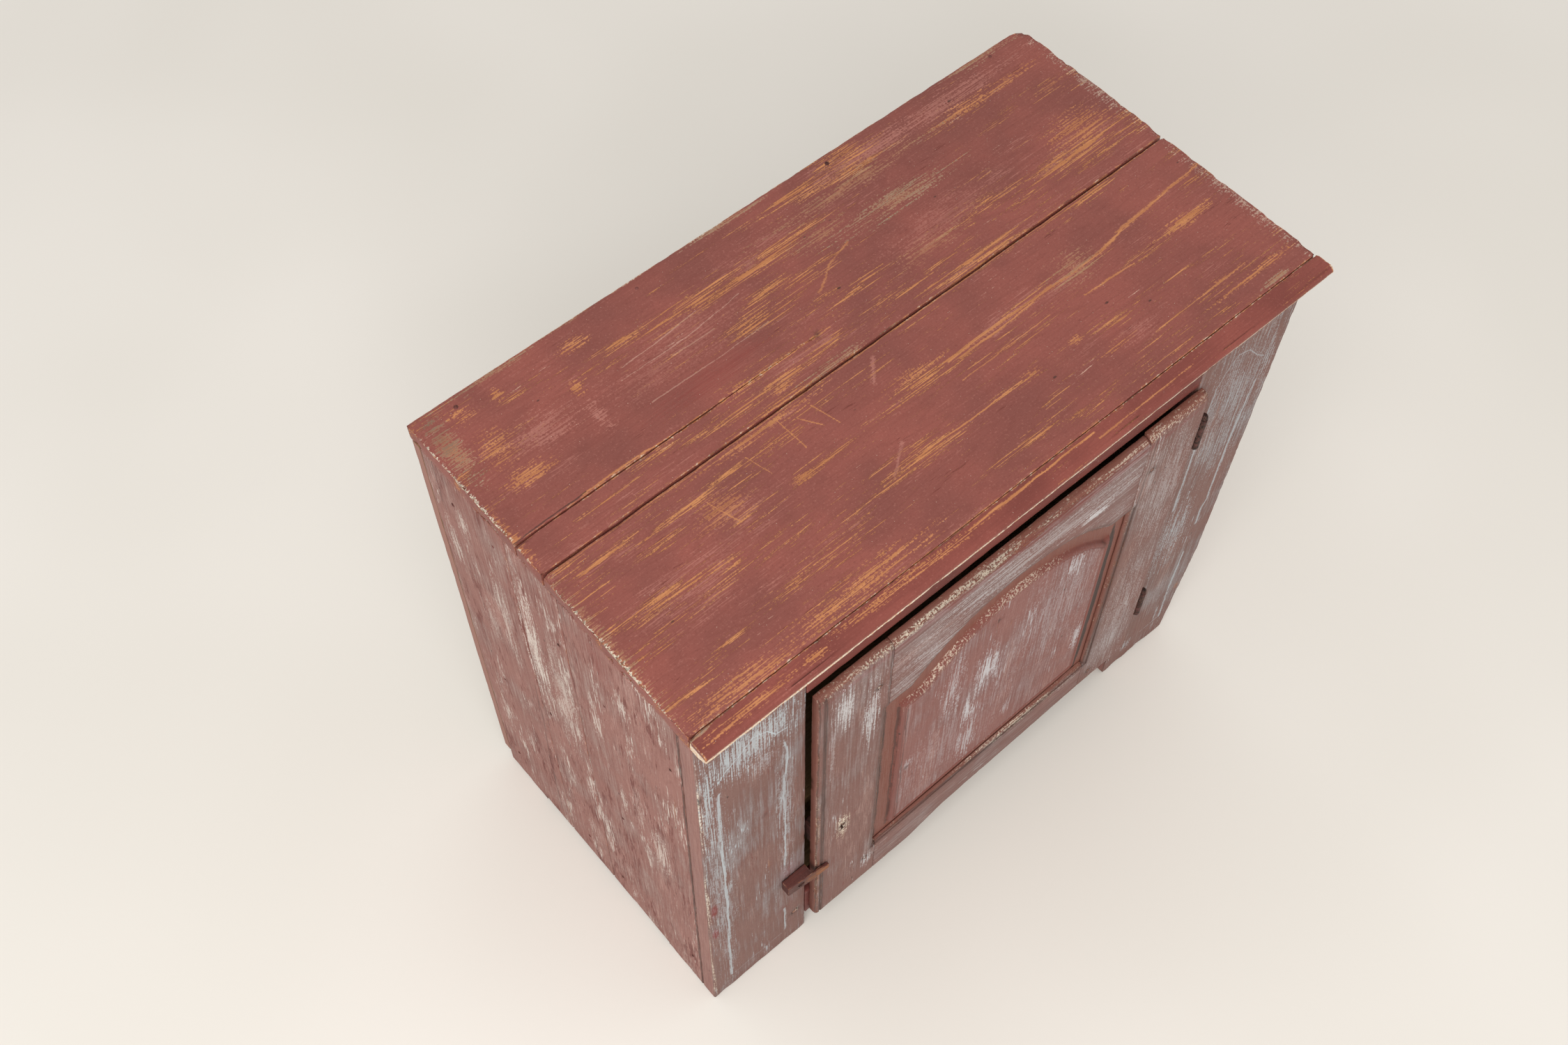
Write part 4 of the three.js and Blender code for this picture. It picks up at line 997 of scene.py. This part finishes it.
PANEL_MARKS = (
    *patches(Layer.BARE, (286, 306, 190, 640, 0.6, 2.2)),
    *patches(
        Layer.DENT,
        (460, 484, 614, 640, 0.8, 1.6), (385, 405, 430, 450, 0.5, 1.8), (645, 662, 420, 450, 0.5, 1.8),
        (515, 530, 428, 444, 0.45, 1.8),
    ),
    *patches(
        Layer.WASH,
        (440, 494, 430, 552, 1.2, 1.9), (430, 452, 340, 450, 1.2, 1.8), (432, 470, 228, 352, 0.85, 2.2),
        (383, 422, 440, 605, 0.8, 2.5), (593, 632, 572, 638, 1.0, 2.1), (651, 677, 300, 378, 1.0, 2.0),
        (514, 542, 262, 314, 0.7, 2.4), (318, 347, 362, 403, 0.6, 2.4), (520, 680, 380, 640, 0.35, 3.0),
        (330, 520, 250, 420, 0.3, 3.0),
    ),
    *patches(
        Layer.FLAKES,
        (300, 430, 580, 690, 0.6, 2.2), (430, 580, 640, 700, 0.5, 2.4), (440, 700, 160, 215, 0.6, 2.4),
    ),
    # The long dark patch in the panel's right margin is painted shadow; the two small patches are dark spots.
    *patches(
        Layer.GRIME,
        (683, 703, 150, 655, 1.2, 0.3), (465, 479, 620, 633, 0.6, 1.4), (322, 336, 366, 378, 0.7, 1.5),
    ),
    # Painted shade: dark lines under the arch's edge, along the panel's sunk margin and at the field's edge.
    *strokes(
        Layer.GRIME,
        (((323, 637), (365, 671), (420, 699), (495, 711), (570, 699), (625, 671), (667, 637)), 3.4, 0.9),
        (((283, 175), (283, 636)), 3.4, 1.1), (((306, 196), (680, 214)), 2.0, 0.8),
        (((306, 185), (306, 590)), 2.2, 0.8), (((319, 205), (319, 575)), 1.4, 0.7),
    ),
)
# Beyond 9.5 mm deep the panel's sunk margin takes the darker depth tone, partly painted shade.
PANEL_PAINT = PaintFinish(
    "panel_paint", Grain.UPRIGHT, Face.FRONT, colour(139, 89, 82), colour(120, 70, 63), colour(174, 138, 130),
    wood=colour(156, 98, 66), wood_dark=colour(110, 66, 44), wash=colour(200, 197, 200),
    depth_tone=colour(130, 80, 64), depth_tone_from=9.5, bare_cover=0.02, bloom_cover=0.4, haze=0.22, wash_cover=0.16,
    edge_bare=0.3, edge_flakes=0.5, roughness=0.5, seed=2.4, flakes_on_trim=True, bare_inside=True,
    marks=PANEL_MARKS,
)
BUTTON_PAINT = PaintFinish(
    "button_paint", Grain.SIDEWAYS, Face.FRONT, colour(96, 50, 44), colour(68, 36, 32), colour(130, 88, 78),
    wood=colour(166, 108, 74), wood_dark=colour(110, 68, 44), bare_cover=0.02, bloom_cover=0.2, haze=0.0,
    edge_bare=0.55, edge_flakes=0.3, seed=4.4,
    marks=(Patch(Layer.BARE, (140, 205), (238, 272), 1.0, 1.2), Patch(Layer.GRIME, (188, 206), (230, 270), 0.7)),
)
BACK_WOOD = BareWood("back_wood", Grain.UPRIGHT, colour(142, 112, 82), colour(98, 72, 50), colour(120, 104, 88),
                     colour(160, 116, 107))
INSIDE_WOOD = BareWood("inside_wood", Grain.SIDEWAYS)
CLEAT_WOOD = BareWood("cleat_wood", Grain.FRONT_TO_BACK)
IRON = OldIron("hinge_iron", colour(46, 36, 33), colour(78, 46, 36), colour(84, 42, 37), 0.6)
NAIL_IRON = OldIron("nail_iron", colour(70, 44, 40), colour(96, 52, 42), colour(112, 58, 52), 0.7)
Finish = PaintFinish | BareWood | OldIron


@dataclass(frozen=True)
class Weathering:
    """How far use has rounded, chipped and warped a piece. Lengths are in millimetres."""

    round_over: float = 1.6
    arris_angle: float = 14.0
    cell: float = 7.0
    chip_depth: float = 2.4
    chip_rate: float = 42.0
    chip_start: float = 0.12
    warp: float = 0.6
    end_chips: float = 0.0
    foot_chips: float = 0.0
    seed: float = 0.0


SEED_STEP = 1.7
HIDDEN = Weathering(round_over=0.8, cell=22.0, chip_depth=0.8)
FORGED = Weathering(round_over=0.0, cell=4.0, chip_depth=0.35, chip_rate=260.0, warp=0.12)


class Worn:
    """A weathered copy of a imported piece: rounded arrises, chips and a little warp."""

    round_angle = math.radians(50)
    shortest_rounded = 12.0
    arris_reach = 3.0
    crease_dirt_and_shade_reach = 3.0
    sample = 3.0
    smooth_angle = math.radians(38)
    merged = 0.01
    cell_snap = 0.02
    flat_angle = math.radians(0.5)
    far = 1000.0
    fine_rate = 3.1
    fine_share = 0.45
    warp_rate = 5.0
    foot_start = 0.35
    end_reach = 6.0
    foot_reach = 14.0
    end_rates = (0.0, 70.0, 30.0)
    foot_rates = (55.0, 55.0, 0.0)

    def __init__(self, node: str, wear: Weathering) -> None:
        """Copies the node's mesh as clean faces.

        Args:
            node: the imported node's name.
            wear: how worn the copy is.
        """
        self.node = node
        self.wear = wear
        self.low, self.high = (Vector(corner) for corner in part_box(node))
        self.shape = bmesh.new()
        self.shape.from_mesh(frame["nodes"][node].data)
        bmesh.ops.remove_doubles(self.shape, verts=self.shape.verts[:], dist=self.merged * MM)
        bmesh.ops.dissolve_limit(self.shape, angle_limit=self.flat_angle, verts=self.shape.verts[:],
                                 edges=self.shape.edges[:])

    def _edges(self, convex: bool, least: float) -> list[bmesh.types.BMEdge]:
        """Finds the edges that turn by more than an angle.

        Args:
            convex: whether they turn outwards.
            least: the angle in radians.

        Returns:
            The edges.
        """
        sign = 1 if convex else -1
        return [e for e in self.shape.edges
                if len(e.link_faces) == 2 and sign * e.calc_face_angle_signed(0.0) > least]

    def _tree(self, edges: Iterable[bmesh.types.BMEdge]) -> kdtree.KDTree | None:
        """Gathers places along edges, to measure from.

        Args:
            edges: the edges.

        Returns:
            The places, or None where there are no edges.
        """
        places = []
        for edge in edges:
            start, end = (vert.co.copy() for vert in edge.verts)
            count = max(1, int((end - start).length / (self.sample * MM)))
            places.extend(start.lerp(end, i / count) for i in range(count + 1))
        if not places:
            return None
        tree = kdtree.KDTree(len(places))
        for index, place in enumerate(places):
            tree.insert(place, index)
        tree.balance()
        return tree

    def _cut(self, place: Vector, normal: Vector, snap: float) -> None:
        """Cuts every face along a plane. A vertex nearer to it than the snap, in millimetres, counts as on it."""
        everything = self.shape.verts[:] + self.shape.edges[:] + self.shape.faces[:]
        bmesh.ops.bisect_plane(self.shape, geom=everything, dist=snap * MM, plane_co=place, plane_no=normal)

    def _cut_into_cells(self) -> None:
        """Cuts the faces along evenly spaced planes, so that they can bend."""
        spacing = self.wear.cell * MM * 1.0
        for axis in range(3):
            span = self.high[axis] - self.low[axis]
            count = int(span / spacing)
            normal = Vector((axis == 0, axis == 1, axis == 2))
            for i in range(1, count):
                middle = Vector(self.low)
                middle[axis] += span * i / count
                self._cut(middle, normal, self.cell_snap)

    def _weather(self, arrises: kdtree.KDTree | None, hollows: kdtree.KDTree | None) -> None:
        """Stores the wear, crease (dirt and painted shade) and board attributes, and moves each vertex inwards.

        Args:
            arrises: places along the outer edges.
            hollows: places along the inner edges.
        """
        wear = self.wear
        worn = self.shape.verts.layers.float.new("wear")
        deep = self.shape.verts.layers.float.new("crease_dirt_and_shade")
        board = self.shape.verts.layers.float.new("board")
        self.shape.normal_update()
        offset = Vector((wear.seed, 0.37 * wear.seed, -wear.seed))
        moves = []
        for vert in self.shape.verts:
            place = vert.co
            gap = arrises.find(place)[2] / MM if arrises else self.far
            near = math.exp(-gap / self.arris_reach)
            vert[worn] = near
            vert[board] = wear.seed
            # Closeness to inner edges: the paint darkens there as dirt and painted shade.
            vert[deep] = math.exp(-hollows.find(place)[2] / MM / self.crease_dirt_and_shade_reach) if hollows else 0.0
            rough = noise.noise(place * wear.chip_rate + offset)
            fine = noise.noise(place * wear.chip_rate * self.fine_rate - offset)
            chip = max(0.0, rough - wear.chip_start) + self.fine_share * max(0.0, fine)
            sink = wear.warp * (0.5 + 0.5 * noise.noise(place * self.warp_rate + offset))
            sink += near * near * chip * wear.chip_depth
            ends = min(place.x - self.low.x, self.high.x - place.x) / MM
            if wear.end_chips and ends < self.end_reach:
                sink += wear.end_chips * max(0.0, noise.noise(place * Vector(self.end_rates) + offset))
            moves.append((vert, -vert.normal * sink * MM, place.z / MM))
        for vert, move, height in moves:
            vert.co += move
            if wear.foot_chips and height < self.foot_reach:
                ragged = max(0.0, self.foot_start + noise.noise(vert.co * Vector(self.foot_rates) + offset))
                vert.co.z += wear.foot_chips * ragged * (1.0 - height / self.foot_reach) * MM

    def _mould(self) -> None:
        """Leaves the faces as they are. A moulded piece gives them a profile here."""

    def piece(self, body: str, finish: Finish) -> bpy.types.Object:
        """The finished piece, which stands for its node.

        Args:
            body: the body that it moves with.
            finish: what it is finished in.

        Returns:
            The new object.
        """
        arrises = self._tree(self._edges(True, math.radians(self.wear.arris_angle)))
        hollows = self._tree(self._edges(False, math.radians(self.wear.arris_angle)))
        self._mould()
        if self.wear.round_over:
            chosen = [e for e in self._edges(True, self.round_angle)
                      if e.calc_length() > self.shortest_rounded * MM]
            bmesh.ops.bevel(self.shape, geom=chosen, offset=self.wear.round_over * MM, offset_type="OFFSET",
                            segments=2, profile=0.5, affect="EDGES", clamp_overlap=True)
        self._cut_into_cells()
        self._weather(arrises, hollows)
        mesh = bpy.data.meshes.new(f"{self.node}_worn")
        self.shape.to_mesh(mesh)
        self.shape.free()
        mesh.polygons.foreach_set("use_smooth", [True] * len(mesh.polygons))
        mesh.set_sharp_from_angle(angle=self.smooth_angle)
        mesh.materials.append(finish.material())
        made = new_object(f"{self.node}_worn", mesh)
        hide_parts(self.node)
        slot_of(self.node)
        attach(made, body)
        LOG.info("%s: %d faces", made.name, len(mesh.polygons))
        return made


class MouldedPanel(Worn):
    """The door's panel, with a rounded ridge round its field and a flat, sunk margin outside it."""

    front = 6.5
    ridge = (0.7, 4.4)
    ring_snap = 0.002
    slack = 0.01
    profile = ((0.5, 0.7), (0.75, 1.7), (1.0, 1.2), (1.25, 0.4), (1.5, 0.1), (2.1, 0.3), (2.7, 1.0), (3.3, 2.4),
               (3.75, 4.4), (4.2, 6.6), (4.55, 7.4), (5.2, 7.7), (7.7, 7.7))

    def _mould(self) -> None:
        """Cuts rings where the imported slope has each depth, and moves them to the profile's depth."""
        face = spot(0.0, self.front, 0.0).y
        for depth, _ in self.profile[1:-1]:
            self._cut(Vector((0.0, face + depth * MM, 0.0)), Vector((0.0, 1.0, 0.0)), self.ring_snap)
        trim = self.shape.verts.layers.float.new("trim")
        for vert in self.shape.verts:
            depth = (vert.co.y - face) / MM
            vert[trim] = float(self.ridge[0] < depth < self.ridge[1])
            for (start, shown), (end, last) in zip(self.profile, self.profile[1:]):
                if start <= depth + self.slack and depth < end:
                    share = (depth - start) / (end - start)
                    vert.co.y = face + (shown + (last - shown) * share) * MM
                    break


def slot_of(node: str) -> str:
    """The record's material slot of a node."""
    return next(row["material_slot"] for row in frame["record"]["subparts"] if row["node"] == node)


def nodes_named(*starts: str) -> list[str]:
    """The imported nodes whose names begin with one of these, in order."""
    return sorted(name for name in frame["nodes"] if name.startswith(starts))


def dress(names: Iterable[str], body: str, finish: Finish, wear: Weathering) -> None:
    """Makes a worn copy of each node, each with a seed of its own.

    Args:
        names: the nodes.
        body: the body that they move with.
        finish: what they are finished in.
        wear: how worn they are.
    """
    for index, name in enumerate(names):
        Worn(name, replace(wear, seed=wear.seed + SEED_STEP * index)).piece(body, finish)


@dataclass
class CaseTop:
    """The two boards and the nosing that make the top."""

    body: str = "case"
    boards: Weathering = Weathering(round_over=1.0, cell=7.0, chip_depth=3.0, chip_rate=30.0, warp=0.9,
                                    end_chips=5.0, seed=11.0)
    nosing: Weathering = Weathering(round_over=1.0, arris_angle=32.0, cell=5.0, chip_depth=3.0, chip_rate=36.0,
                                    warp=0.7, end_chips=3.0, seed=17.0)

    def build(self) -> None:
        """Makes the boards and the nosing."""
        dress(["top_board_back"], self.body, TOP_BACK_PAINT, self.boards)
        dress(["top_board_front"], self.body, TOP_FRONT_PAINT, self.boards)
        dress(["top_nosing"], self.body, NOSING_PAINT, self.nosing)


@dataclass
class CaseFront:
    """The stiles and rails round the door, with their pegs."""

    body: str = "case"
    stiles: Weathering = Weathering(round_over=2.4, cell=7.0, chip_depth=3.2, foot_chips=7.0, seed=23.0)
    rails: Weathering = Weathering(round_over=1.6, cell=8.0, chip_depth=2.0, seed=31.0)
    pegs: Weathering = Weathering(round_over=0.0, cell=6.0, chip_depth=0.4, warp=0.5, seed=5.0)

    def build(self) -> None:
        """Makes the stiles, the rails and the pegs."""
        dress(nodes_named("stile_"), self.body, FRONT_PAINT, self.stiles)
        dress(nodes_named("rail_"), self.body, RAIL_PAINT, self.rails)
        dress(nodes_named("frame_peg"), self.body, FRONT_PAINT, self.pegs)


@dataclass
class CaseWalls:
    """The side boards, the back boards and the head rail."""

    body: str = "case"
    sides: Weathering = Weathering(round_over=1.6, cell=8.0, chip_depth=2.6, foot_chips=6.0, warp=0.9, seed=41.0)
    back: Weathering = Weathering(round_over=1.2, cell=14.0, chip_depth=2.2, warp=0.8, seed=53.0)

    def build(self) -> None:
        """Makes both sides and the back."""
        dress(nodes_named("side_left"), self.body, LEFT_SIDE_PAINT, self.sides)
        dress(nodes_named("side_right"), self.body, RIGHT_SIDE_PAINT, self.sides)
        dress(nodes_named("back_board"), self.body, BACK_WOOD, self.back)
        dress(["back_head_rail"], self.body, INSIDE_WOOD, HIDDEN)


@dataclass
class CaseInside:
    """The cleats, the floor and the shelf."""

    body: str = "case"
    boards: Weathering = Weathering(round_over=1.2, cell=16.0, chip_depth=1.6, warp=0.7, seed=61.0)

    def build(self) -> None:
        """Makes the boards and the cleats under them."""
        dress(nodes_named("floor_board", "shelf_board"), self.body, INSIDE_WOOD, self.boards)
        dress(nodes_named("floor_cleat", "shelf_cleat", "upper_cleat"), self.body, CLEAT_WOOD, HIDDEN)


@dataclass
class Door:
    """The framed door with its arched, fielded panel."""

    body: str = "door"
    members: Weathering = Weathering(round_over=1.0, cell=6.0, chip_depth=1.6, chip_rate=60.0, warp=0.35, seed=71.0)
    panel: Weathering = Weathering(round_over=0.0, cell=6.0, chip_depth=0.9, chip_rate=70.0, warp=0.4, seed=83.0)
    pegs: Weathering = Weathering(round_over=0.0, cell=6.0, chip_depth=0.3, warp=0.4, seed=6.0)

    def build(self) -> None:
        """Makes the stiles, rails, panel and pegs."""
        dress(nodes_named("door_stile"), self.body, DOOR_STILE_PAINT, self.members)
        dress(nodes_named("door_rail"), self.body, DOOR_RAIL_PAINT, self.members)
        MouldedPanel("door_panel", self.panel).piece(self.body, PANEL_PAINT)
        dress(nodes_named("door_peg"), self.body, DOOR_STILE_PAINT, self.pegs)


@dataclass
class Ironwork:
    """The hinges, the rim lock and its bolt, and the turn button's screw."""

    wear: Weathering = FORGED

    def build(self) -> None:
        """Makes each iron piece on the body that carries it."""
        for level in ("upper", "lower"):
            dress([f"hinge_{level}_case_half", f"hinge_{level}_pin"], "case", IRON, self.wear)
            dress([f"hinge_{level}_door_half"], "door", IRON, self.wear)
        dress(["lock_case", *nodes_named("lock_screw")], "door", IRON, self.wear)
        dress(["lock_bolt"], "lock_bolt", IRON, self.wear)
        dress(["turn_button_screw"], "case", IRON, self.wear)


@dataclass
class TurnButton:
    """The wooden button that holds the door shut."""

    body: str = "turn_button"
    wear: Weathering = Weathering(round_over=1.2, cell=2.5, chip_depth=2.0, chip_rate=110.0, warp=0.5, seed=91.0)

    def build(self) -> None:
        """Makes the button."""
        dress([self.body], self.body, BUTTON_PAINT, self.wear)


@dataclass
class NailRows:
    """Forged nail heads on both sides and along the back of the top, as instances that are made real."""

    body: str = "case"
    radius: float = 3.4
    height: float = 1.1
    sides: int = 6
    proud: float = 0.7
    bedded: float = 1.2
    side_places: tuple[Span, ...] = (
        (482.0, 825.0), (399.0, 838.0), (282.0, 756.0), (202.0, 724.0), (352.0, 456.0), (205.0, 365.0),
        (473.0, 372.0), (241.0, 71.0), (320.0, 80.0), (500.0, 76.0), (70.0, 92.0), (72.0, 760.0),
    )
    top_back: tuple[float, ...] = (60.0, 330.0, 640.0, 930.0)
    wall_lean: float = 18.0
    wall_height: float = 889.0
    right_wall: float = 984.0
    wander: float = 5.0
    top_row: float = 538.0
    top_height: float = 914.0

    def _tree(self) -> bpy.types.NodeTree:
        """Builds the node tree that puts a rose head on each point and turns it to face out.

        Returns:
            The node tree.
        """
        tree = bpy.data.node_groups.new("nail_heads", "GeometryNodeTree")
        inputs = (("Places", "Geometry"), ("Radius", "Float"), ("Height", "Float"), ("Sides", "Int"),
                  ("Facing", "Vector"), ("Finish", "Material"))
        for label, kind in inputs:
            tree.interface.new_socket(name=label, in_out="INPUT", socket_type=f"NodeSocket{kind}")
        tree.interface.new_socket(name="Heads", in_out="OUTPUT", socket_type="NodeSocketGeometry")
        net = Net(tree)
        given = {socket.name: socket for socket in tree.nodes.new("NodeGroupInput").outputs if socket.name}
        points = net.add("GeometryNodeMeshToPoints", {"Mesh": given["Places"]}).outputs[0]
        crown = net.times(given["Radius"], 0.35)
        head = net.add("GeometryNodeMeshCone", {
            "Vertices": given["Sides"], "Radius Top": crown, "Radius Bottom": given["Radius"],
            "Depth": given["Height"],
        }).outputs["Mesh"]
        size = net.add("FunctionNodeRandomValue", {2: 0.75, 3: 1.15, "Seed": 4}, data_type="FLOAT").outputs[1]
        spun = net.add("GeometryNodeInstanceOnPoints", {
            "Points": points, "Instance": head, "Rotation": given["Facing"], "Scale": size,
        }).outputs[0]
        turn = net.add("FunctionNodeRandomValue", {1: (0.0, 0.0, math.tau), "Seed": 9}, data_type="FLOAT_VECTOR")
        spun = net.add("GeometryNodeRotateInstances", {"Instances": spun, "Rotation": turn.outputs[0]}).outputs[0]
        real = net.add("GeometryNodeRealizeInstances", {"Geometry": spun}).outputs[0]
        dressed = net.add("GeometryNodeSetMaterial", {"Geometry": real, "Material": given["Finish"]}).outputs[0]
        end = tree.nodes.new("NodeGroupOutput")
        tree.links.new(dressed, end.inputs[0])
        return tree

    def _heads(self, tree: bpy.types.NodeTree, name: str, places: Sequence[Vector], facing: Vector) -> None:
        """Makes the heads of one face.

        Args:
            tree: the node tree that makes them.
            name: the piece's name.
            places: where the heads are.
            facing: the turns about X, Y and Z that point a head outwards.
        """
        seeds = bpy.data.meshes.new(f"{name}_places")
        seeds.from_pydata(places, [], [])
        carrier = new_object(f"{name}_places", seeds)
        modifier = carrier.modifiers.new("heads", "NODES")
        modifier.node_group = tree
        values = {"Radius": self.radius * MM, "Height": self.height * MM, "Sides": self.sides, "Facing": facing,
                  "Finish": NAIL_IRON.material()}
        for item in tree.interface.items_tree:
            if item.in_out == "INPUT" and item.name in values:
                modifier[item.identifier] = values[item.name]
        shown = carrier.evaluated_get(bpy.context.evaluated_depsgraph_get())
        mesh = bpy.data.meshes.new_from_object(shown)
        carrier.modifiers.remove(modifier)
        bpy.data.objects.remove(carrier)
        made = new_object(name, mesh)
        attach(made, self.body)
        LOG.info("%s: %d heads", name, len(places))

    def _strayed(self, place: Vector) -> Vector:
        """The place moved a little, as a hand-driven nail is."""
        shift = Vector((0.0, noise.noise(place * 71.0), noise.noise(place * 53.0 + Vector((5.0, 1.0, 2.0)))))
        return place + shift * self.wander * MM

    def _lean(self, height: float) -> float:
        """How far the walls stand to the right at a height, in millimetres."""
        return -self.wall_lean * (1.0 - height / self.wall_height)

    def build(self) -> None:
        """Makes the heads on both sides and along the back of the top."""
        tree = self._tree()
        left = [self._strayed(spot(self._lean(z) - self.proud + self.bedded, y, z)) for y, z in self.side_places]
        right = [self._strayed(spot(self.right_wall + self._lean(z) + self.proud - self.bedded, y, z))
                 for y, z in self.side_places]
        self._heads(tree, "nail_heads_left", left, Vector((0.0, -math.pi / 2, 0.0)))
        self._heads(tree, "nail_heads_right", right, Vector((0.0, math.pi / 2, 0.0)))
        top = [spot(x, self.top_row, self.top_height - self.bedded + self.proud) for x in self.top_back]
        self._heads(tree, "nail_heads_top", top, Vector((0.0, 0.0, 0.0)))


@dataclass
class Studio:
    """The pale floor, the soft light and the camera of the photograph."""

    focal_pixels: float = 2515.7
    frame_pixels: float = 2250.0
    sensor: float = 36.0
    azimuth: float = -0.69485
    elevation: float = 1.03329
    roll: float = -0.01458
    eye: Triple = (-398.46, -611.28, 2611.13)
    floor_half: float = 9.0
    floor_colour: Colour = colour(239, 235, 229)
    floor_dull: Colour = colour(232, 228, 221)
    sky: Colour = (1.0, 0.985, 0.96, 1.0)
    sky_level: float = 0.71
    lamp_place: Vector = field(default_factory=lambda: Vector((-2.2, -2.0, 3.6)))
    lamp_size: float = 3.2
    lamp_power: float = 121.0
    lamp_tint: Triple = (1.0, 0.98, 0.95)
    lamp_aim: Triple = (0.0, 0.0, 0.45)
    farthest: float = 60.0

    def _floor(self) -> None:
        """Lays a wide pale floor."""
        shape = bmesh.new()
        bmesh.ops.create_grid(shape, x_segments=1, y_segments=1, size=self.floor_half)
        mesh = bpy.data.meshes.new("floor")
        shape.to_mesh(mesh)
        shape.free()
        made, net = new_material("floor_paper")
        place = net.add("ShaderNodeTexCoord").outputs["Object"]
        cloud = net.step(net.noise(place, 0.9, 2.0), 0.3, 0.7)
        tone = net.mix(cloud, self.floor_colour, self.floor_dull)
        net.surface({"Base Color": tone, "Roughness": 0.9, "Specular IOR Level": 0.1})
        mesh.materials.append(made)
        floor = new_object("floor", mesh)
        floor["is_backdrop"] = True

    def _light(self) -> None:
        """Sets an even sky and one large soft lamp from the front left."""
        world = bpy.data.worlds.new("studio")
        bpy.context.scene.world = world
        world.use_nodes = True
        world.node_tree.nodes["Background"].inputs["Color"].default_value = self.sky
        world.node_tree.nodes["Background"].inputs["Strength"].default_value = self.sky_level
        lamp = bpy.data.lights.new("soft_lamp", "AREA")
        lamp.shape = "SQUARE"
        lamp.size = self.lamp_size
        lamp.energy = self.lamp_power
        lamp.color = self.lamp_tint
        holder = new_object("soft_lamp", lamp)
        holder.location = self.lamp_place
        aim = Vector(self.lamp_aim) - self.lamp_place
        holder.rotation_euler = aim.to_track_quat("-Z", "Y").to_euler()

    def _camera(self) -> None:
        """Stands the camera where the photograph was taken from."""
        lens = bpy.data.cameras.new("photo_camera")
        lens.sensor_width = self.sensor
        lens.lens = self.sensor * self.focal_pixels / self.frame_pixels
        lens.clip_end = self.farthest
        back = Vector((math.sin(self.azimuth) * math.cos(self.elevation),
                       -math.cos(self.azimuth) * math.cos(self.elevation), math.sin(self.elevation)))
        level = Vector((math.cos(self.azimuth), math.sin(self.azimuth), 0.0))
        upright = back.cross(level)
        right = math.cos(self.roll) * level + math.sin(self.roll) * upright
        up = back.cross(right)
        turned = Matrix((right, up, back)).transposed().to_4x4()
        camera = new_object("photo_camera", lens)
        camera.matrix_world = Matrix.Translation(spot(*self.eye)) @ turned
        bpy.context.scene.camera = camera

    def build(self) -> None:
        """Sets the floor, the light, the camera and the plain view."""
        self._floor()
        self._light()
        self._camera()
        bpy.context.scene.view_settings.view_transform = "Standard"


def write_sizes() -> None:
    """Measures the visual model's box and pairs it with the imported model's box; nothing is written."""
    low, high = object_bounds()
    sizes = {"cad": [list(LOW), list(HIGH)], "visual": [list(low), list(high)]}


def main() -> None:
    """Builds the cupboard piece by piece and sets the studio round it."""
    logging.basicConfig(level=logging.INFO, format="%(message)s")
    for part in (CaseTop(), CaseFront(), CaseWalls(), CaseInside(), Door(), Ironwork(), TurnButton(), NailRows(),
                 Studio()):
        LOG.info("building %s", type(part).__name__)
        part.build()
    write_sizes()


if __name__ == "__main__":
    main()
